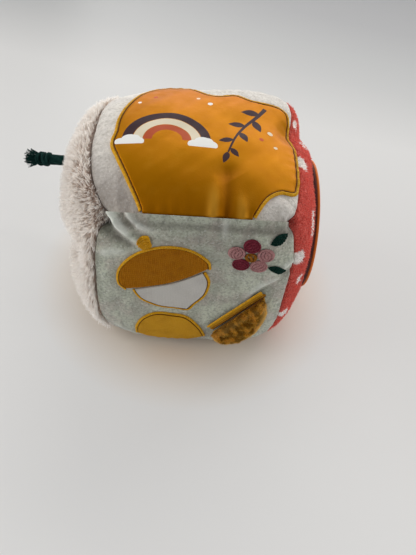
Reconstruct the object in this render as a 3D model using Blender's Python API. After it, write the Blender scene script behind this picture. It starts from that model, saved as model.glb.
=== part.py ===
# Soft fabric block for a baby: six crowned cloth panels sewn round a padded core with a rattle,
# a leather patch on top, cut-out cloth shapes and a plush leaf flap in front, a round mirror on
# the right and a knotted pull cord at the back left. Metres, +Z up, the origin on the table
# under the middle of the block. Shares u and v run from -1 to 1 across each side.
import math

import bmesh
import bpy
from mathutils import Matrix, Vector

# The block's body
corner_reach = 0.0528            # middle of the block to each side's plane, at its corners
edge_bulge = 0.0072              # how much farther out the seams run between the corners
top_crown = 0.0180
front_crown = 0.0100
left_crown = 0.0325
right_crown = 0.0275
back_crown = 0.0120
bottom_crown = 0.0118
rest_cut = 0.0016                # depth of the flat that the block rests on
mirror_seat_cut = 0.0075         # depth of the flat behind the mirror

# Slack places where the filling leaves a dent: from, to, reach and depth, about the middle
slack_places = [
    ((-0.0835, 0.0015, -0.0130), (-0.0771, -0.0465, 0.0108), 0.0135, 0.0050),
    ((0.0562, 0.0144, 0.0656), (0.0731, 0.0468, 0.0334), 0.0150, 0.0030),
]

# Cloth and sewing
cloth_thickness = 0.0015
plush_pile = 0.0075
terry_pile = 0.0008
seam_allowance = 0.0080
seam_gap = 0.0003
cloth_gap = 0.0004
core_gap = 0.0005

# Cut-out shapes and their satin-stitched borders
patch_thickness = 0.0011
applique_thickness = 0.0010
border_width = 0.0022
border_height = 0.0015
border_gap = 0.0003
fine_border_width = 0.0016
fine_border_height = 0.0014
stitched_thickness = 0.0012      # flower and small leaves, filled with thread

# Plush leaf flap, hinged along its upper-left edge
flap_length = 0.0490
flap_width = 0.0235
flap_slant = math.radians(52.4)  # the stitched edge against the table
flap_backing_thickness = 0.0009
flap_film_thickness = 0.0004
flap_film_inset = 0.0020
flap_plush_edge = 0.0010
flap_plush_crown = 0.0034
flap_layer_gap = 0.0003
flap_hem_width = 0.0018
flap_hem_height = 0.0010
flap_hem_start = 0.0003
flap_stitch_width = 0.0014
flap_stitch_height = 0.0010
flap_stitch_start = 0.0014       # clear of the hem when the flap is lifted

# Round mirror on the right side
mirror_radius = 0.0430
mirror_ring_width = 0.0120
mirror_plate_lap = 0.0040        # of the plate under the ring
mirror_pad_inset = 0.0010
mirror_window_radius = mirror_radius - mirror_ring_width
mirror_plate_radius = mirror_window_radius + mirror_plate_lap
mirror_pad_radius = mirror_plate_radius - mirror_pad_inset
mirror_plate_thickness = 0.0007
mirror_pad_thickness = 0.0005
mirror_backing_thickness = 0.0006
mirror_lip_thickness = 0.0006
mirror_rim_round = 0.0003
mirror_gap = 0.0003
mirror_lift = 0.0020             # the mirror's middle above the block's

# Rattle in the core
rattle_radius = 0.0140
rattle_height = 0.0260
rattle_wall = 0.0014
rattle_lid_height = 0.0030
rattle_lid_rim = 0.0022
rattle_gap = 0.0003
bead_radius = 0.0030
bead_ring_radius = 0.0068
pocket_gap = 0.0005
stuffing_hole_radius = 0.0018
cutter_overrun = 0.0040

# Pull cord, sewn into the seam between the back and the left side
cord_diameter = 0.0082
cord_route = [                   # from the point of the seam that it leaves by
    (-0.0013, 0.0015, -0.0004),
    (-0.0058, 0.0035, -0.0005),
    (-0.0138, 0.0059, -0.0009),
    (-0.0258, 0.0085, -0.0019),
    (-0.0378, 0.0105, -0.0035),
    (-0.0498, 0.0133, -0.0056),
]
knot_length = 0.0090
knot_diameter = 0.0116
tuft_length = 0.0115
tuft_diameter = 0.0142
cord_end_gap = 0.0003

# Counts
panel_cells = 16
core_cells = 10
curve_steps = 3
round_steps = 36
bead_count = 5
cord_points_per_stretch = 3

# Shapes as shares of a side's half width, of a size, or of the way out from the middle
seam_round_share = 3.3
dome_shares = {                  # exponents: how late the dome falls off, and how squarely
    "top": (2.2, 0.85), "front": (3.0, 0.6), "left": (1.8, 0.6),
    "right": (2.2, 0.75), "back": (2.5, 0.8), "bottom": (2.0, 1.0),
}
stuffing_share = {               # corners and edges that the filling pushes out or leaves slack
    (-1, -1, -1): -0.013, (-1, -1, 1): -0.026, (-1, 1, -1): -0.008, (-1, 1, 1): 0.012,
    (1, -1, -1): 0.009, (1, -1, 1): 0.026, (1, 1, -1): 0.020, (1, 1, 1): 0.101,
    (0, 1, 1): -0.046, (-1, 0, 1): 0.052, (1, 0, 1): -0.050, (1, -1, 0): -0.026,
    (0, -1, -1): -0.035,
}
stuffing_reach_share = 1.3       # how far past the corner planes the stuffing's pull still grows
core_slack_share = 0.25          # how much deeper the core's dents are than the cloth's
core_draw_in_share = 8           # exponent of the core's draw-in along the seams
pile_fall_share = 4              # exponent of the pile's thinning towards the seams
band_shoulder_share = 0.25       # of a satin band's width, from its edge to its flat top
flap_root_shares = (0.25, -0.617)    # the flap's stitched edge at its lower end
cord_exit_share = -0.21          # how far below the seam's middle the cord leaves it
cord_taper_share = [0.30, 0.62, 0.92]
knot_profile_shares = [(0.0, 0.64), (0.25, 0.95), (0.5, 1.0), (0.75, 0.95), (1.0, 0.64)]
tuft_profile_shares = [(0.0, 0.46), (0.35, 0.85), (0.8, 1.0), (1.0, 0.8)]
sharp_edge_angle = math.radians(35)

side_axes = {                    # outward, across and up on each side, seen from outside
    "top": ((0, 0, 1), (1, 0, 0), (0, 1, 0)),
    "front": ((0, -1, 0), (1, 0, 0), (0, 0, 1)),
    "left": ((-1, 0, 0), (0, -1, 0), (0, 0, 1)),
    "right": ((1, 0, 0), (0, 1, 0), (0, 0, 1)),
    "back": ((0, 1, 0), (-1, 0, 0), (0, 0, 1)),
    "bottom": ((0, 0, -1), (1, 0, 0), (0, -1, 0)),
}
side_crown = {"top": top_crown, "front": front_crown, "left": left_crown,
              "right": right_crown, "back": back_crown, "bottom": bottom_crown}
side_pile = {"left": plush_pile, "right": terry_pile}
seam_reach = corner_reach + edge_bulge


def clear_scene():
    for thing in list(bpy.data.objects):
        bpy.data.objects.remove(thing, do_unlink=True)


def material(name, color, roughness, metallic=0.0):
    made = bpy.data.materials.new(name)
    made.use_nodes = True
    shader = made.node_tree.nodes["Principled BSDF"]
    shader.inputs["Base Color"].default_value = (*color, 1.0)
    shader.inputs["Roughness"].default_value = roughness
    shader.inputs["Metallic"].default_value = metallic
    made.diffuse_color = (*color, 1.0)
    return made


def node(name, bm, finish, parent=None):
    # One named piece from a bmesh, its faces turned out
    bmesh.ops.recalc_face_normals(bm, faces=bm.faces)
    mesh = bpy.data.meshes.new(name)
    bm.to_mesh(mesh)
    bm.free()
    made = bpy.data.objects.new(name, mesh)
    bpy.context.collection.objects.link(made)
    mesh.materials.append(finish)
    mesh.shade_smooth()
    mesh.set_sharp_from_angle(angle=sharp_edge_angle)
    if parent:
        made.parent = parent
    return made


def slack(point):
    # Depth of the dents at a point of the shell
    depth = 0.0
    for start, end, reach, deepest in slack_places:
        run = Vector(end) - Vector(start)
        along = max(0.0, min(1.0, (point - Vector(start)).dot(run) / run.length_squared))
        away = (point - Vector(start) - along * run).length
        depth += deepest * math.exp(-(away / reach) ** 2)
    return depth


def stuffing_pull(point):
    # Share by which the filling moves a point of the shell out from the middle
    pull = -slack(point) / point.length
    for corner, share in stuffing_share.items():
        weight = 1.0
        for sign, value in zip(corner, point):
            along = max(-stuffing_reach_share, min(stuffing_reach_share, value / corner_reach))
            weight *= (1 + sign * along) / 2 if sign else max(0.0, 1 - along * along)
        pull += share * weight
    return pull


def full_point(side, u, v):
    # The stuffed shell before anything presses it flat, from the middle of the block
    out_axis, across_axis, up_axis = (Vector(axis) for axis in side_axes[side])
    dome, square = dome_shares[side]
    u_fall = max(0.0, 1 - abs(u) ** seam_round_share)
    v_fall = max(0.0, 1 - abs(v) ** seam_round_share)
    swell = edge_bulge * (v_fall * u * u + u_fall * v * v)
    crown = max(0.0, (1 - abs(u) ** dome) * (1 - abs(v) ** dome)) ** square
    point = (corner_reach + swell + side_crown[side] * crown) * out_axis
    point += u * (corner_reach + edge_bulge * v_fall) * across_axis
    point += v * (corner_reach + edge_bulge * u_fall) * up_axis
    return point * (1 + stuffing_pull(point))


def shares(cells, edge=1.0):
    return [edge * (2 * i / cells - 1) for i in range(cells + 1)]


def full_reach(side, spread_u=None, spread_v=None):
    # How far out a side's dome comes, all over or under a stretch of it
    out_axis = Vector(side_axes[side][0])
    return max(full_point(side, u, v).dot(out_axis)
               for u in spread_u or shares(panel_cells) for v in spread_v or shares(panel_cells))


rest_height = full_reach("bottom") - rest_cut
mirror_seat = full_reach("right") - mirror_seat_cut
flat_reach = {"bottom": rest_height, "right": mirror_seat}
block_middle = Vector((0, 0, rest_height))


def shell_point(side, u, v, depth=0.0):
    # Point of a side, depth inwards along the line to the middle of the block
    point = full_point(side, u, v)
    if side in flat_reach:
        point *= min(1.0, flat_reach[side] / point.dot(Vector(side_axes[side][0])))
    return block_middle + point * (1 - depth / point.length)


def cloth_depth(side, u, v):
    pile = side_pile.get(side, 0.0)
    return cloth_thickness + pile * (1 - max(abs(u), abs(v)) ** pile_fall_share)


def grid_rim(cells):
    # Indices of a square grid's rim, once round
    rim = [(i, 0) for i in range(cells)]
    rim += [(cells, j) for j in range(cells)]
    rim += [(cells - i, cells) for i in range(cells)]
    rim += [(0, cells - j) for j in range(cells)]
    return rim


def grid_faces(bm, grid, cells):
    for i in range(cells):
        for j in range(cells):
            bm.faces.new((grid[i][j], grid[i + 1][j], grid[i + 1][j + 1], grid[i][j + 1]))


def join_rings(bm, first, second):
    count = len(first)
    for k in range(count):
        after = (k + 1) % count
        bm.faces.new((first[k], first[after], second[after], second[k]))


# Rim shares of a panel: its outer edge, half a seam gap from its neighbour, and its allowance's
# inner wall
edge_share = 1 - seam_gap / (math.sqrt(2) * seam_reach)
inner_share = edge_share - math.sqrt(2) * cloth_thickness / seam_reach


def panel(side, finish):
    # A crowned sheet of cloth whose seam allowance turns inwards all round
    bm = bmesh.new()
    outer_shares = shares(panel_cells, edge_share)
    inner_shares = shares(panel_cells, inner_share)
    outer = [[bm.verts.new(shell_point(side, u, v)) for v in outer_shares] for u in outer_shares]
    inner = [[bm.verts.new(shell_point(side, u, v, cloth_depth(side, u, v))) for v in inner_shares]
             for u in inner_shares]
    rim = grid_rim(panel_cells)
    turned = [bm.verts.new(shell_point(side, outer_shares[i], outer_shares[j], seam_allowance))
              for i, j in rim]
    raw = [bm.verts.new(shell_point(side, inner_shares[i], inner_shares[j], seam_allowance))
           for i, j in rim]
    grid_faces(bm, outer, panel_cells)
    grid_faces(bm, inner, panel_cells)
    join_rings(bm, [outer[i][j] for i, j in rim], turned)
    join_rings(bm, turned, raw)
    join_rings(bm, raw, [inner[i][j] for i, j in rim])
    return node(side + "_panel", bm, finish)


def core_depth(side, u, v):
    # Just under the cloth, and drawn in behind the seam allowances
    draw_in = (seam_allowance - cloth_thickness + core_gap) / inner_share ** core_draw_in_share
    rim = max(abs(u), abs(v)) ** core_draw_in_share
    dent = core_slack_share * slack(full_point(side, u, v))
    return cloth_depth(side, u, v) + core_gap + draw_in * rim + dent


def cylinder(radius, low, high, name="cutter"):
    bm = bmesh.new()
    bmesh.ops.create_cone(bm, cap_ends=True, segments=round_steps, radius1=radius, radius2=radius,
                          depth=high - low, matrix=Matrix.Translation((0, 0, (low + high) / 2)))
    bmesh.ops.recalc_face_normals(bm, faces=bm.faces)
    mesh = bpy.data.meshes.new(name)
    bm.to_mesh(mesh)
    bm.free()
    made = bpy.data.objects.new(name, mesh)
    bpy.context.collection.objects.link(made)
    made.hide_render = True
    made.display_type = "WIRE"
    return made


def cut(piece, cutter):
    boolean = piece.modifiers.new("pocket", "BOOLEAN")
    boolean.operation = "DIFFERENCE"
    boolean.solver = "EXACT"
    boolean.object = cutter


def core(finish):
    # Fibre filling, with the rattle's pocket and the narrow hole it was pushed in by
    bm = bmesh.new()
    spread = shares(core_cells)
    for side in side_axes:
        grid = [[bm.verts.new(shell_point(side, u, v, core_depth(side, u, v))) for v in spread]
                for u in spread]
        grid_faces(bm, grid, core_cells)
    bmesh.ops.remove_doubles(bm, verts=bm.verts, dist=seam_gap / 10)
    made = node("fibre_fill", bm, finish)
    low = rest_height - rattle_height / 2 - pocket_gap
    high = rest_height + rattle_height / 2 + pocket_gap
    cut(made, cylinder(rattle_radius + pocket_gap, low, high, "rattle_pocket"))
    cut(made, cylinder(stuffing_hole_radius, -cutter_overrun, low + pocket_gap, "stuffing_hole"))
    return made


def turned_piece(name, profile, finish, steps=round_steps, place=None):
    # A profile of (radius, height) points, turned round Z and closed on the axis or on itself
    bm = bmesh.new()
    rings = []
    for radius, height in profile:
        if radius == 0:
            rings.append([bm.verts.new((0, 0, height))])
            continue
        turn = [2 * math.pi * k / steps for k in range(steps)]
        rings.append([bm.verts.new((radius * math.cos(a), radius * math.sin(a), height)) for a in turn])
    pairs = list(zip(rings, rings[1:]))
    if len(rings[0]) > 1 and len(rings[-1]) > 1:
        pairs.append((rings[-1], rings[0]))
    for first, second in pairs:
        if len(first) == 1:
            first, second = second, first
        if len(second) == 1:
            for k in range(steps):
                bm.faces.new((first[k], first[(k + 1) % steps], second[0]))
        else:
            join_rings(bm, first, second)
    made = node(name, bm, finish)
    if place:
        made.matrix_world = place
    return made


def through(points, steps=curve_steps):
    # Samples of a smooth open curve through points, without its last one
    line = []
    last = len(points) - 1
    for k in range(last):
        before, start = Vector(points[max(k - 1, 0)]), Vector(points[k])
        end, after = Vector(points[k + 1]), Vector(points[min(k + 2, last)])
        for step in range(steps):
            t = step / steps
            line.append(0.5 * (2 * start + (end - before) * t
                               + (2 * before - 5 * start + 4 * end - after) * t ** 2
                               + (3 * start - before - 3 * end + after) * t ** 3))
    return line


def smooth_loop(points):
    # Samples of a smooth closed curve through points
    count = len(points)
    padded = [points[-1]] + list(points) + [points[0], points[1]]
    samples = through(padded)
    return samples[curve_steps:curve_steps * (count + 1)]


def outline_normals(line, closed):
    # Unit vectors to the right of the line's run, which point outwards on a loop drawn
    # anticlockwise
    normals = []
    last = len(line) - 1
    for k in range(len(line)):
        before = line[k - 1] if closed or k else line[k]
        after = line[(k + 1) % len(line)] if closed or k < last else line[k]
        run = (after - before).normalized()
        normals.append(Vector((run.y, -run.x)))
    return normals


def offset(line, distance, closed=True):
    # The line moved out by a distance, as shares of a side
    share = distance / seam_reach
    return [p + share * n for p, n in zip(line, outline_normals(line, closed))]


def wrapped_plate(name, side, outline, thickness, ring_shares, finish, middle=None):
    # A plate laid on a side, whose outline is drawn in shares; rings follow the side's dome
    bm = bmesh.new()
    centre = Vector(middle) if middle else sum(outline, Vector((0, 0))) / len(outline)
    levels = []
    for height in (cloth_gap, cloth_gap + thickness):
        rings = []
        for ring_share in ring_shares:
            ring = [centre + (p - centre) * ring_share for p in outline]
            rings.append([bm.verts.new(shell_point(side, p.x, p.y, -height)) for p in ring])
        cap = bm.verts.new(shell_point(side, centre.x, centre.y, -height))
        for first, second in zip(rings, rings[1:]):
            join_rings(bm, first, second)
        for k in range(len(outline)):
            bm.faces.new((rings[-1][k], rings[-1][(k + 1) % len(outline)], cap))
        levels.append(rings[0])
    join_rings(bm, *levels)
    return node(name, bm, finish)


def wrapped_band(name, side, line, width, height, finish, closed=True):
    # A satin-stitched band laid on a side along a line drawn in shares, rounded on top
    bm = bmesh.new()
    bottom, top = -cloth_gap, -cloth_gap - height
    shoulder, middle = width * band_shoulder_share, (bottom + top) / 2
    section = ((0, bottom), (0, middle), (shoulder, top), (width - shoulder, top),
               (width, middle), (width, bottom))
    rows = []
    for along, depth in section:
        moved = offset(line, along, closed)
        rows.append([bm.verts.new(shell_point(side, p.x, p.y, depth)) for p in moved])
    count = len(line)
    for first, second in zip(rows, rows[1:] + rows[:1]):
        if closed:
            join_rings(bm, first, second)
        else:
            for k in range(count - 1):
                bm.faces.new((first[k], first[k + 1], second[k + 1], second[k]))
    if not closed:
        bm.faces.new([row[0] for row in rows])
        bm.faces.new([row[-1] for row in rows])
    return node(name, bm, finish)


# Top: the leather patch runs into the front seam and is scooped at its front right corner
patch_left_shares = [(-0.555, -0.965), (-0.60, -0.80), (-0.66, -0.60), (-0.735, -0.37),
                     (-0.778, -0.215), (-0.757, -0.04), (-0.745, 0.15), (-0.71, 0.35),
                     (-0.65, 0.55), (-0.57, 0.76), (-0.44, 0.885), (-0.27, 0.908),
                     (-0.10, 0.853), (0.055, 0.722), (0.185, 0.655), (0.37, 0.688),
                     (0.51, 0.603), (0.645, 0.589), (0.80, 0.597), (0.89, 0.555),
                     (0.935, 0.44), (0.945, 0.18), (0.945, -0.30), (0.942, -0.59),
                     (0.91, -0.675), (0.79, -0.68), (0.675, -0.75), (0.605, -0.85),
                     (0.555, -0.965)]
patch_front_shares = [(0.555, -0.965), (0.0, -0.968), (-0.555, -0.965)]
patch_ring_shares = (1.0, 0.88, 0.72, 0.55, 0.36, 0.17)


def patch(leather, thread):
    edge = through(patch_left_shares)
    outline = edge + through(patch_front_shares)
    wrapped_plate("leather_patch", "top", outline, patch_thickness, patch_ring_shares, leather,
                  (0.0, 0.0))
    border = edge + [Vector(patch_left_shares[-1])]
    border.reverse()
    wrapped_band("patch_border", "top", offset(border, border_gap, False), border_width,
                 border_height, thread, False)


# Front: an acorn, a smooth leaf below it and a flower at the upper right, drawn anticlockwise
acorn_tilt = math.radians(24)
acorn_middle_share = (-0.25, 0.17)
acorn_half_share = 0.45          # half of the acorn's width
cap_lower_shares = [(-1.0, 0.02), (-0.55, -0.12), (0.0, -0.17), (0.55, -0.12), (1.0, 0.02)]
cap_upper_shares = [(1.0, 0.02), (1.04, 0.28), (0.84, 0.68), (0.45, 0.96), (0.0, 1.05),
                    (-0.45, 0.96), (-0.84, 0.68), (-1.04, 0.28), (-1.0, 0.02)]
nut_upper_shares = [(0.84, -0.09), (0.45, -0.175), (0.0, -0.21), (-0.45, -0.175), (-0.84, -0.09)]
nut_left_shares = [(-0.84, -0.09), (-0.81, -0.46), (-0.56, -0.86), (-0.22, -1.08), (0.0, -1.24)]
nut_right_shares = [(0.0, -1.24), (0.22, -1.08), (0.56, -0.86), (0.81, -0.46), (0.84, -0.09)]
stem_shares = [(-0.11, 1.16), (-0.15, 1.34), (-0.05, 1.50), (0.11, 1.47), (0.13, 1.32),
               (0.11, 1.16), (0.0, 1.15)]
cap_ring_shares = (1.0, 0.75, 0.5, 0.25)
small_ring_shares = (1.0, 0.5)
smooth_leaf_upper_shares = [(0.20, -0.84), (0.11, -0.67), (-0.03, -0.52), (-0.18, -0.475),
                            (-0.36, -0.455), (-0.49, -0.53), (-0.57, -0.68), (-0.60, -0.85)]
smooth_leaf_lower_shares = [(-0.60, -0.85), (-0.42, -0.93), (-0.18, -0.95), (0.04, -0.93),
                            (0.20, -0.84)]
flower_middle_share = (0.56, 0.60)
petal_count = 5
petal_turn_share = 0.25          # of the angle between petals
petal_places_share = 0.150       # petal middles from the flower's, of a half side
petal_radius_share = 0.084
flower_heart_share = 0.058
long_leaf_upper_shares = [(0.92, 0.91), (0.84, 0.90), (0.78, 0.86), (0.74, 0.79)]
long_leaf_lower_shares = [(0.74, 0.79), (0.80, 0.78), (0.87, 0.82), (0.92, 0.91)]
short_leaf_upper_shares = [(0.92, 0.44), (0.85, 0.49), (0.79, 0.50), (0.74, 0.47)]
short_leaf_lower_shares = [(0.74, 0.47), (0.79, 0.42), (0.86, 0.40), (0.92, 0.44)]


def acorn_place(points):
    # From the acorn's own shares to the front's, tilted
    lean = Matrix.Rotation(acorn_tilt, 2)
    middle = Vector(acorn_middle_share)
    return [middle + lean @ (Vector(p) * acorn_half_share) for p in points]


def circle_shares(middle, radius_share, steps):
    return [Vector(middle) + radius_share * Vector((math.cos(2 * math.pi * k / steps),
                                                    math.sin(2 * math.pi * k / steps)))
            for k in range(steps)]


def acorn(brown, white, thread):
    cap = through(acorn_place(cap_lower_shares)) + through(acorn_place(cap_upper_shares))
    wrapped_plate("acorn_cap", "front", cap, applique_thickness, cap_ring_shares, brown)
    nut = through(acorn_place(nut_upper_shares)) + through(acorn_place(nut_left_shares))
    nut += through(acorn_place(nut_right_shares))
    wrapped_plate("acorn_nut", "front", nut, applique_thickness, cap_ring_shares, white)
    stem = smooth_loop(acorn_place(stem_shares))
    stem.reverse()
    wrapped_plate("acorn_stem", "front", stem, stitched_thickness, small_ring_shares, thread)
    cap_edge = through(acorn_place(cap_upper_shares)) + [acorn_place(cap_upper_shares)[-1]]
    wrapped_band("cap_border", "front", offset(cap_edge, border_gap, False), fine_border_width,
                 fine_border_height, thread, False)
    nut_edge = through(acorn_place(nut_left_shares + nut_right_shares[1:]))
    nut_edge.append(acorn_place(nut_right_shares)[-1])
    wrapped_band("nut_border", "front", offset(nut_edge, border_gap, False), fine_border_width,
                 fine_border_height, thread, False)


def smooth_leaf(cloth, thread):
    outline = through(smooth_leaf_upper_shares) + through(smooth_leaf_lower_shares)
    wrapped_plate("cloth_leaf", "front", outline, applique_thickness, cap_ring_shares, cloth)
    edge = through(smooth_leaf_upper_shares) + [Vector(smooth_leaf_upper_shares[-1])]
    wrapped_band("cloth_leaf_border", "front", offset(edge, border_gap, False), fine_border_width,
                 fine_border_height, thread, False)


def flower(pink, heart, green):
    for k in range(petal_count):
        angle = 2 * math.pi * (k + petal_turn_share) / petal_count
        place = Vector((math.cos(angle), math.sin(angle))) * petal_places_share
        outline = circle_shares(Vector(flower_middle_share) + place, petal_radius_share,
                                round_steps // 3)
        wrapped_plate(f"flower_petal_{k + 1}", "front", outline, stitched_thickness,
                      small_ring_shares, pink[k % len(pink)])
    wrapped_plate("flower_heart", "front",
                  circle_shares(flower_middle_share, flower_heart_share, round_steps // 3),
                  stitched_thickness, small_ring_shares, heart)
    leaf = through(long_leaf_upper_shares) + through(long_leaf_lower_shares)
    wrapped_plate("flower_long_leaf", "front", leaf, stitched_thickness, small_ring_shares, green)
    leaf = through(short_leaf_upper_shares) + through(short_leaf_lower_shares)
    wrapped_plate("flower_short_leaf", "front", leaf, stitched_thickness, small_ring_shares, green)


# The flap's free edge, in its own frame: along its stitched edge from the tip, and away from it
flap_free_shares = [(0.04, 0.02), (0.20, 0.44), (0.36, 0.70), (0.52, 0.87), (0.70, 0.97),
                    (0.86, 0.99), (1.00, 0.88), (1.09, 0.66), (1.11, 0.38), (1.05, 0.10)]
flap_ring_shares = (1.0, 0.88, 0.68, 0.44, 0.2)
flap_seat_across_shares = (0.20, 0.35, 0.50, 0.65, 0.78)
flap_seat_up_shares = (-0.70, -0.55, -0.40, -0.25, -0.10, 0.05)


def flap_hinge():
    # Empty on the hinge line: X runs down the stitched edge, Y across the flap, Z out of the front
    seat = full_reach("front", flap_seat_across_shares, flap_seat_up_shares) + cloth_gap
    across, up = (share * seam_reach for share in flap_root_shares)
    root = Vector((across, -seat, rest_height + up))
    along = Vector((-math.cos(flap_slant), 0, -math.sin(flap_slant)))
    outward = Vector((0, -1, 0))
    across = outward.cross(along)
    tip = root - along * flap_length
    made = bpy.data.objects.new("flap_hinge", None)
    bpy.context.collection.objects.link(made)
    turn = Matrix((along, across, outward)).transposed()
    made.matrix_world = Matrix.Translation(tip) @ turn.to_4x4()
    print("flap hinge at", [round(c, 5) for c in tip], "axis", [round(c, 5) for c in along])
    return made


def flap_outline(inset):
    # The flap's closed outline, moved in from its edges, from the hem's inner side outwards
    start = flap_hem_start + flap_hem_width + flap_layer_gap
    free = [Vector((s * flap_length, start + w * (flap_width - start))) for s, w in flap_free_shares]
    line = through(free) + [free[-1]]
    centre = sum(line, Vector((0, 0))) / len(line)
    return [p + (centre - p).normalized() * inset for p in line], centre


def flap_layer(name, hinge, low, edge, crown, inset, finish):
    # One layer of the flap: flat underneath, domed by its crown on top
    bm = bmesh.new()
    outline, centre = flap_outline(inset)
    levels = []
    for lift, dome in ((low, 0), (low + edge, crown)):
        rings = []
        for ring_share in flap_ring_shares:
            height = lift + dome * math.sqrt(1 - ring_share ** 2)
            flat = [centre + (p - centre) * ring_share for p in outline]
            rings.append([bm.verts.new((p.x, p.y, height)) for p in flat])
        cap = bm.verts.new((centre.x, centre.y, lift + dome))
        for first, second in zip(rings, rings[1:]):
            join_rings(bm, first, second)
        for k in range(len(outline)):
            bm.faces.new((rings[-1][k], rings[-1][(k + 1) % len(outline)], cap))
        levels.append(rings[0])
    join_rings(bm, *levels)
    return node(name, bm, finish, hinge)


def flap(plush, cloth, film, thread):
    hinge = flap_hinge()
    flap_layer("flap_backing", hinge, 0, flap_backing_thickness, 0, 0, cloth)
    film_low = flap_backing_thickness + flap_layer_gap
    flap_layer("flap_film", hinge, film_low, flap_film_thickness, 0, flap_film_inset, film)
    plush_low = film_low + flap_film_thickness + flap_layer_gap
    flap_layer("flap_plush", hinge, plush_low, flap_plush_edge, flap_plush_crown, 0, plush)
    bm = bmesh.new()
    bmesh.ops.create_cube(bm, size=1)
    size = (flap_length, flap_hem_width, flap_hem_height)
    middle = (flap_length / 2, flap_hem_start + flap_hem_width / 2, flap_hem_height / 2)
    bmesh.ops.transform(bm, verts=bm.verts, matrix=Matrix.LocRotScale(middle, None, size))
    node("flap_hem", bm, thread, hinge)
    bm = bmesh.new()
    bmesh.ops.create_cube(bm, size=1)
    size = (flap_length, flap_stitch_width, flap_stitch_height)
    middle = (flap_length / 2, -flap_stitch_start - flap_stitch_width / 2, flap_stitch_height / 2)
    bmesh.ops.transform(bm, verts=bm.verts,
                        matrix=hinge.matrix_world @ Matrix.LocRotScale(middle, None, size))
    node("flap_stitch_row", bm, thread)


def mirror(leather, silver, foam, felt):
    # Turned pieces on the X axis: pad against the panel, backing, plate, and the ring over them
    seat = mirror_seat + mirror_gap
    place = Matrix.Translation((seat, 0, rest_height + mirror_lift)) @ Matrix.Rotation(math.pi / 2, 4, "Y")
    pad_top = mirror_pad_thickness
    turned_piece("mirror_pad", [(0, 0), (mirror_pad_radius, 0), (mirror_pad_radius, pad_top),
                                (0, pad_top)], foam, place=place)
    low = pad_top + mirror_gap
    high = low + mirror_backing_thickness
    turned_piece("mirror_backing", [(0, low), (mirror_radius - mirror_rim_round, low),
                                    (mirror_radius, low + mirror_rim_round),
                                    (mirror_radius, high), (0, high)], felt, place=place)
    low = high + mirror_gap
    high = low + mirror_plate_thickness
    turned_piece("mirror_plate", [(0, low), (mirror_plate_radius, low),
                                  (mirror_plate_radius, high), (0, high)], silver, place=place)
    lip = high + mirror_gap
    top = lip + mirror_lip_thickness
    bore = mirror_plate_radius + mirror_gap
    turned_piece("mirror_frame", [(bore, low), (mirror_radius, low),
                                  (mirror_radius, top - mirror_rim_round),
                                  (mirror_radius - mirror_rim_round, top),
                                  (mirror_window_radius + mirror_rim_round, top),
                                  (mirror_window_radius, lip), (bore, lip)], leather, place=place)


def rattle(shell, lid, bead):
    # A cup with a plug-in lid, and loose beads on its floor
    base = rest_height - rattle_height / 2
    bore = rattle_radius - rattle_wall
    brim = base + rattle_height - rattle_lid_height
    turned_piece("rattle_cup", [(0, base), (rattle_radius, base), (rattle_radius, brim),
                                (bore, brim), (bore, base + rattle_wall), (0, base + rattle_wall)],
                 shell)
    plug = bore - rattle_gap
    seat = brim + rattle_gap
    top = base + rattle_height
    turned_piece("rattle_lid", [(0, seat - rattle_lid_rim), (plug, seat - rattle_lid_rim),
                                (plug, seat), (rattle_radius, seat), (rattle_radius, top), (0, top)],
                 lid)
    floor = base + rattle_wall + rattle_gap
    for k in range(bead_count):
        angle = 2 * math.pi * k / bead_count
        place = (bead_ring_radius * math.cos(angle), bead_ring_radius * math.sin(angle),
                 floor + bead_radius)
        bm = bmesh.new()
        bmesh.ops.create_icosphere(bm, subdivisions=2, radius=bead_radius)
        node(f"rattle_bead_{k + 1}", bm, bead).location = place


def pull_cord(yarn):
    # The cord's tube, thinner where the seam holds it, then its knot and its frayed end
    leaves = shell_point("left", -1, cord_exit_share)
    route = [leaves + Vector(step) for step in cord_route]
    path = through(route, cord_points_per_stretch) + [route[-1]]
    curve = bpy.data.curves.new("pull_cord", "CURVE")
    curve.dimensions = "3D"
    curve.bevel_depth = cord_diameter / 2
    curve.bevel_resolution = 2
    curve.use_fill_caps = True
    spline = curve.splines.new("POLY")
    spline.points.add(len(path) - 1)
    for k, (point, place) in enumerate(zip(spline.points, path)):
        point.co = (*place, 1)
        point.radius = cord_taper_share[k] if k < len(cord_taper_share) else 1
    made = bpy.data.objects.new("pull_cord", curve)
    bpy.context.collection.objects.link(made)
    curve.materials.append(yarn)
    print("cord length", round(sum((b - a).length for a, b in zip(path, path[1:])), 5), "from",
          [round(c, 5) for c in leaves])

    way = (path[-1] - path[-2]).normalized()
    turn = way.to_track_quat("Z", "Y").to_matrix().to_4x4()
    start = path[-1] + way * cord_end_gap
    for name, length, diameter, profile in (
            ("cord_knot", knot_length, knot_diameter, knot_profile_shares),
            ("cord_tuft", tuft_length, tuft_diameter, tuft_profile_shares)):
        rings = [(share * diameter / 2, along * length) for along, share in profile]
        turned_piece(name, [(0, 0), *rings, (0, length)], yarn, round_steps // 3,
                     Matrix.Translation(start) @ turn)
        start += way * (length + cord_end_gap)


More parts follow.
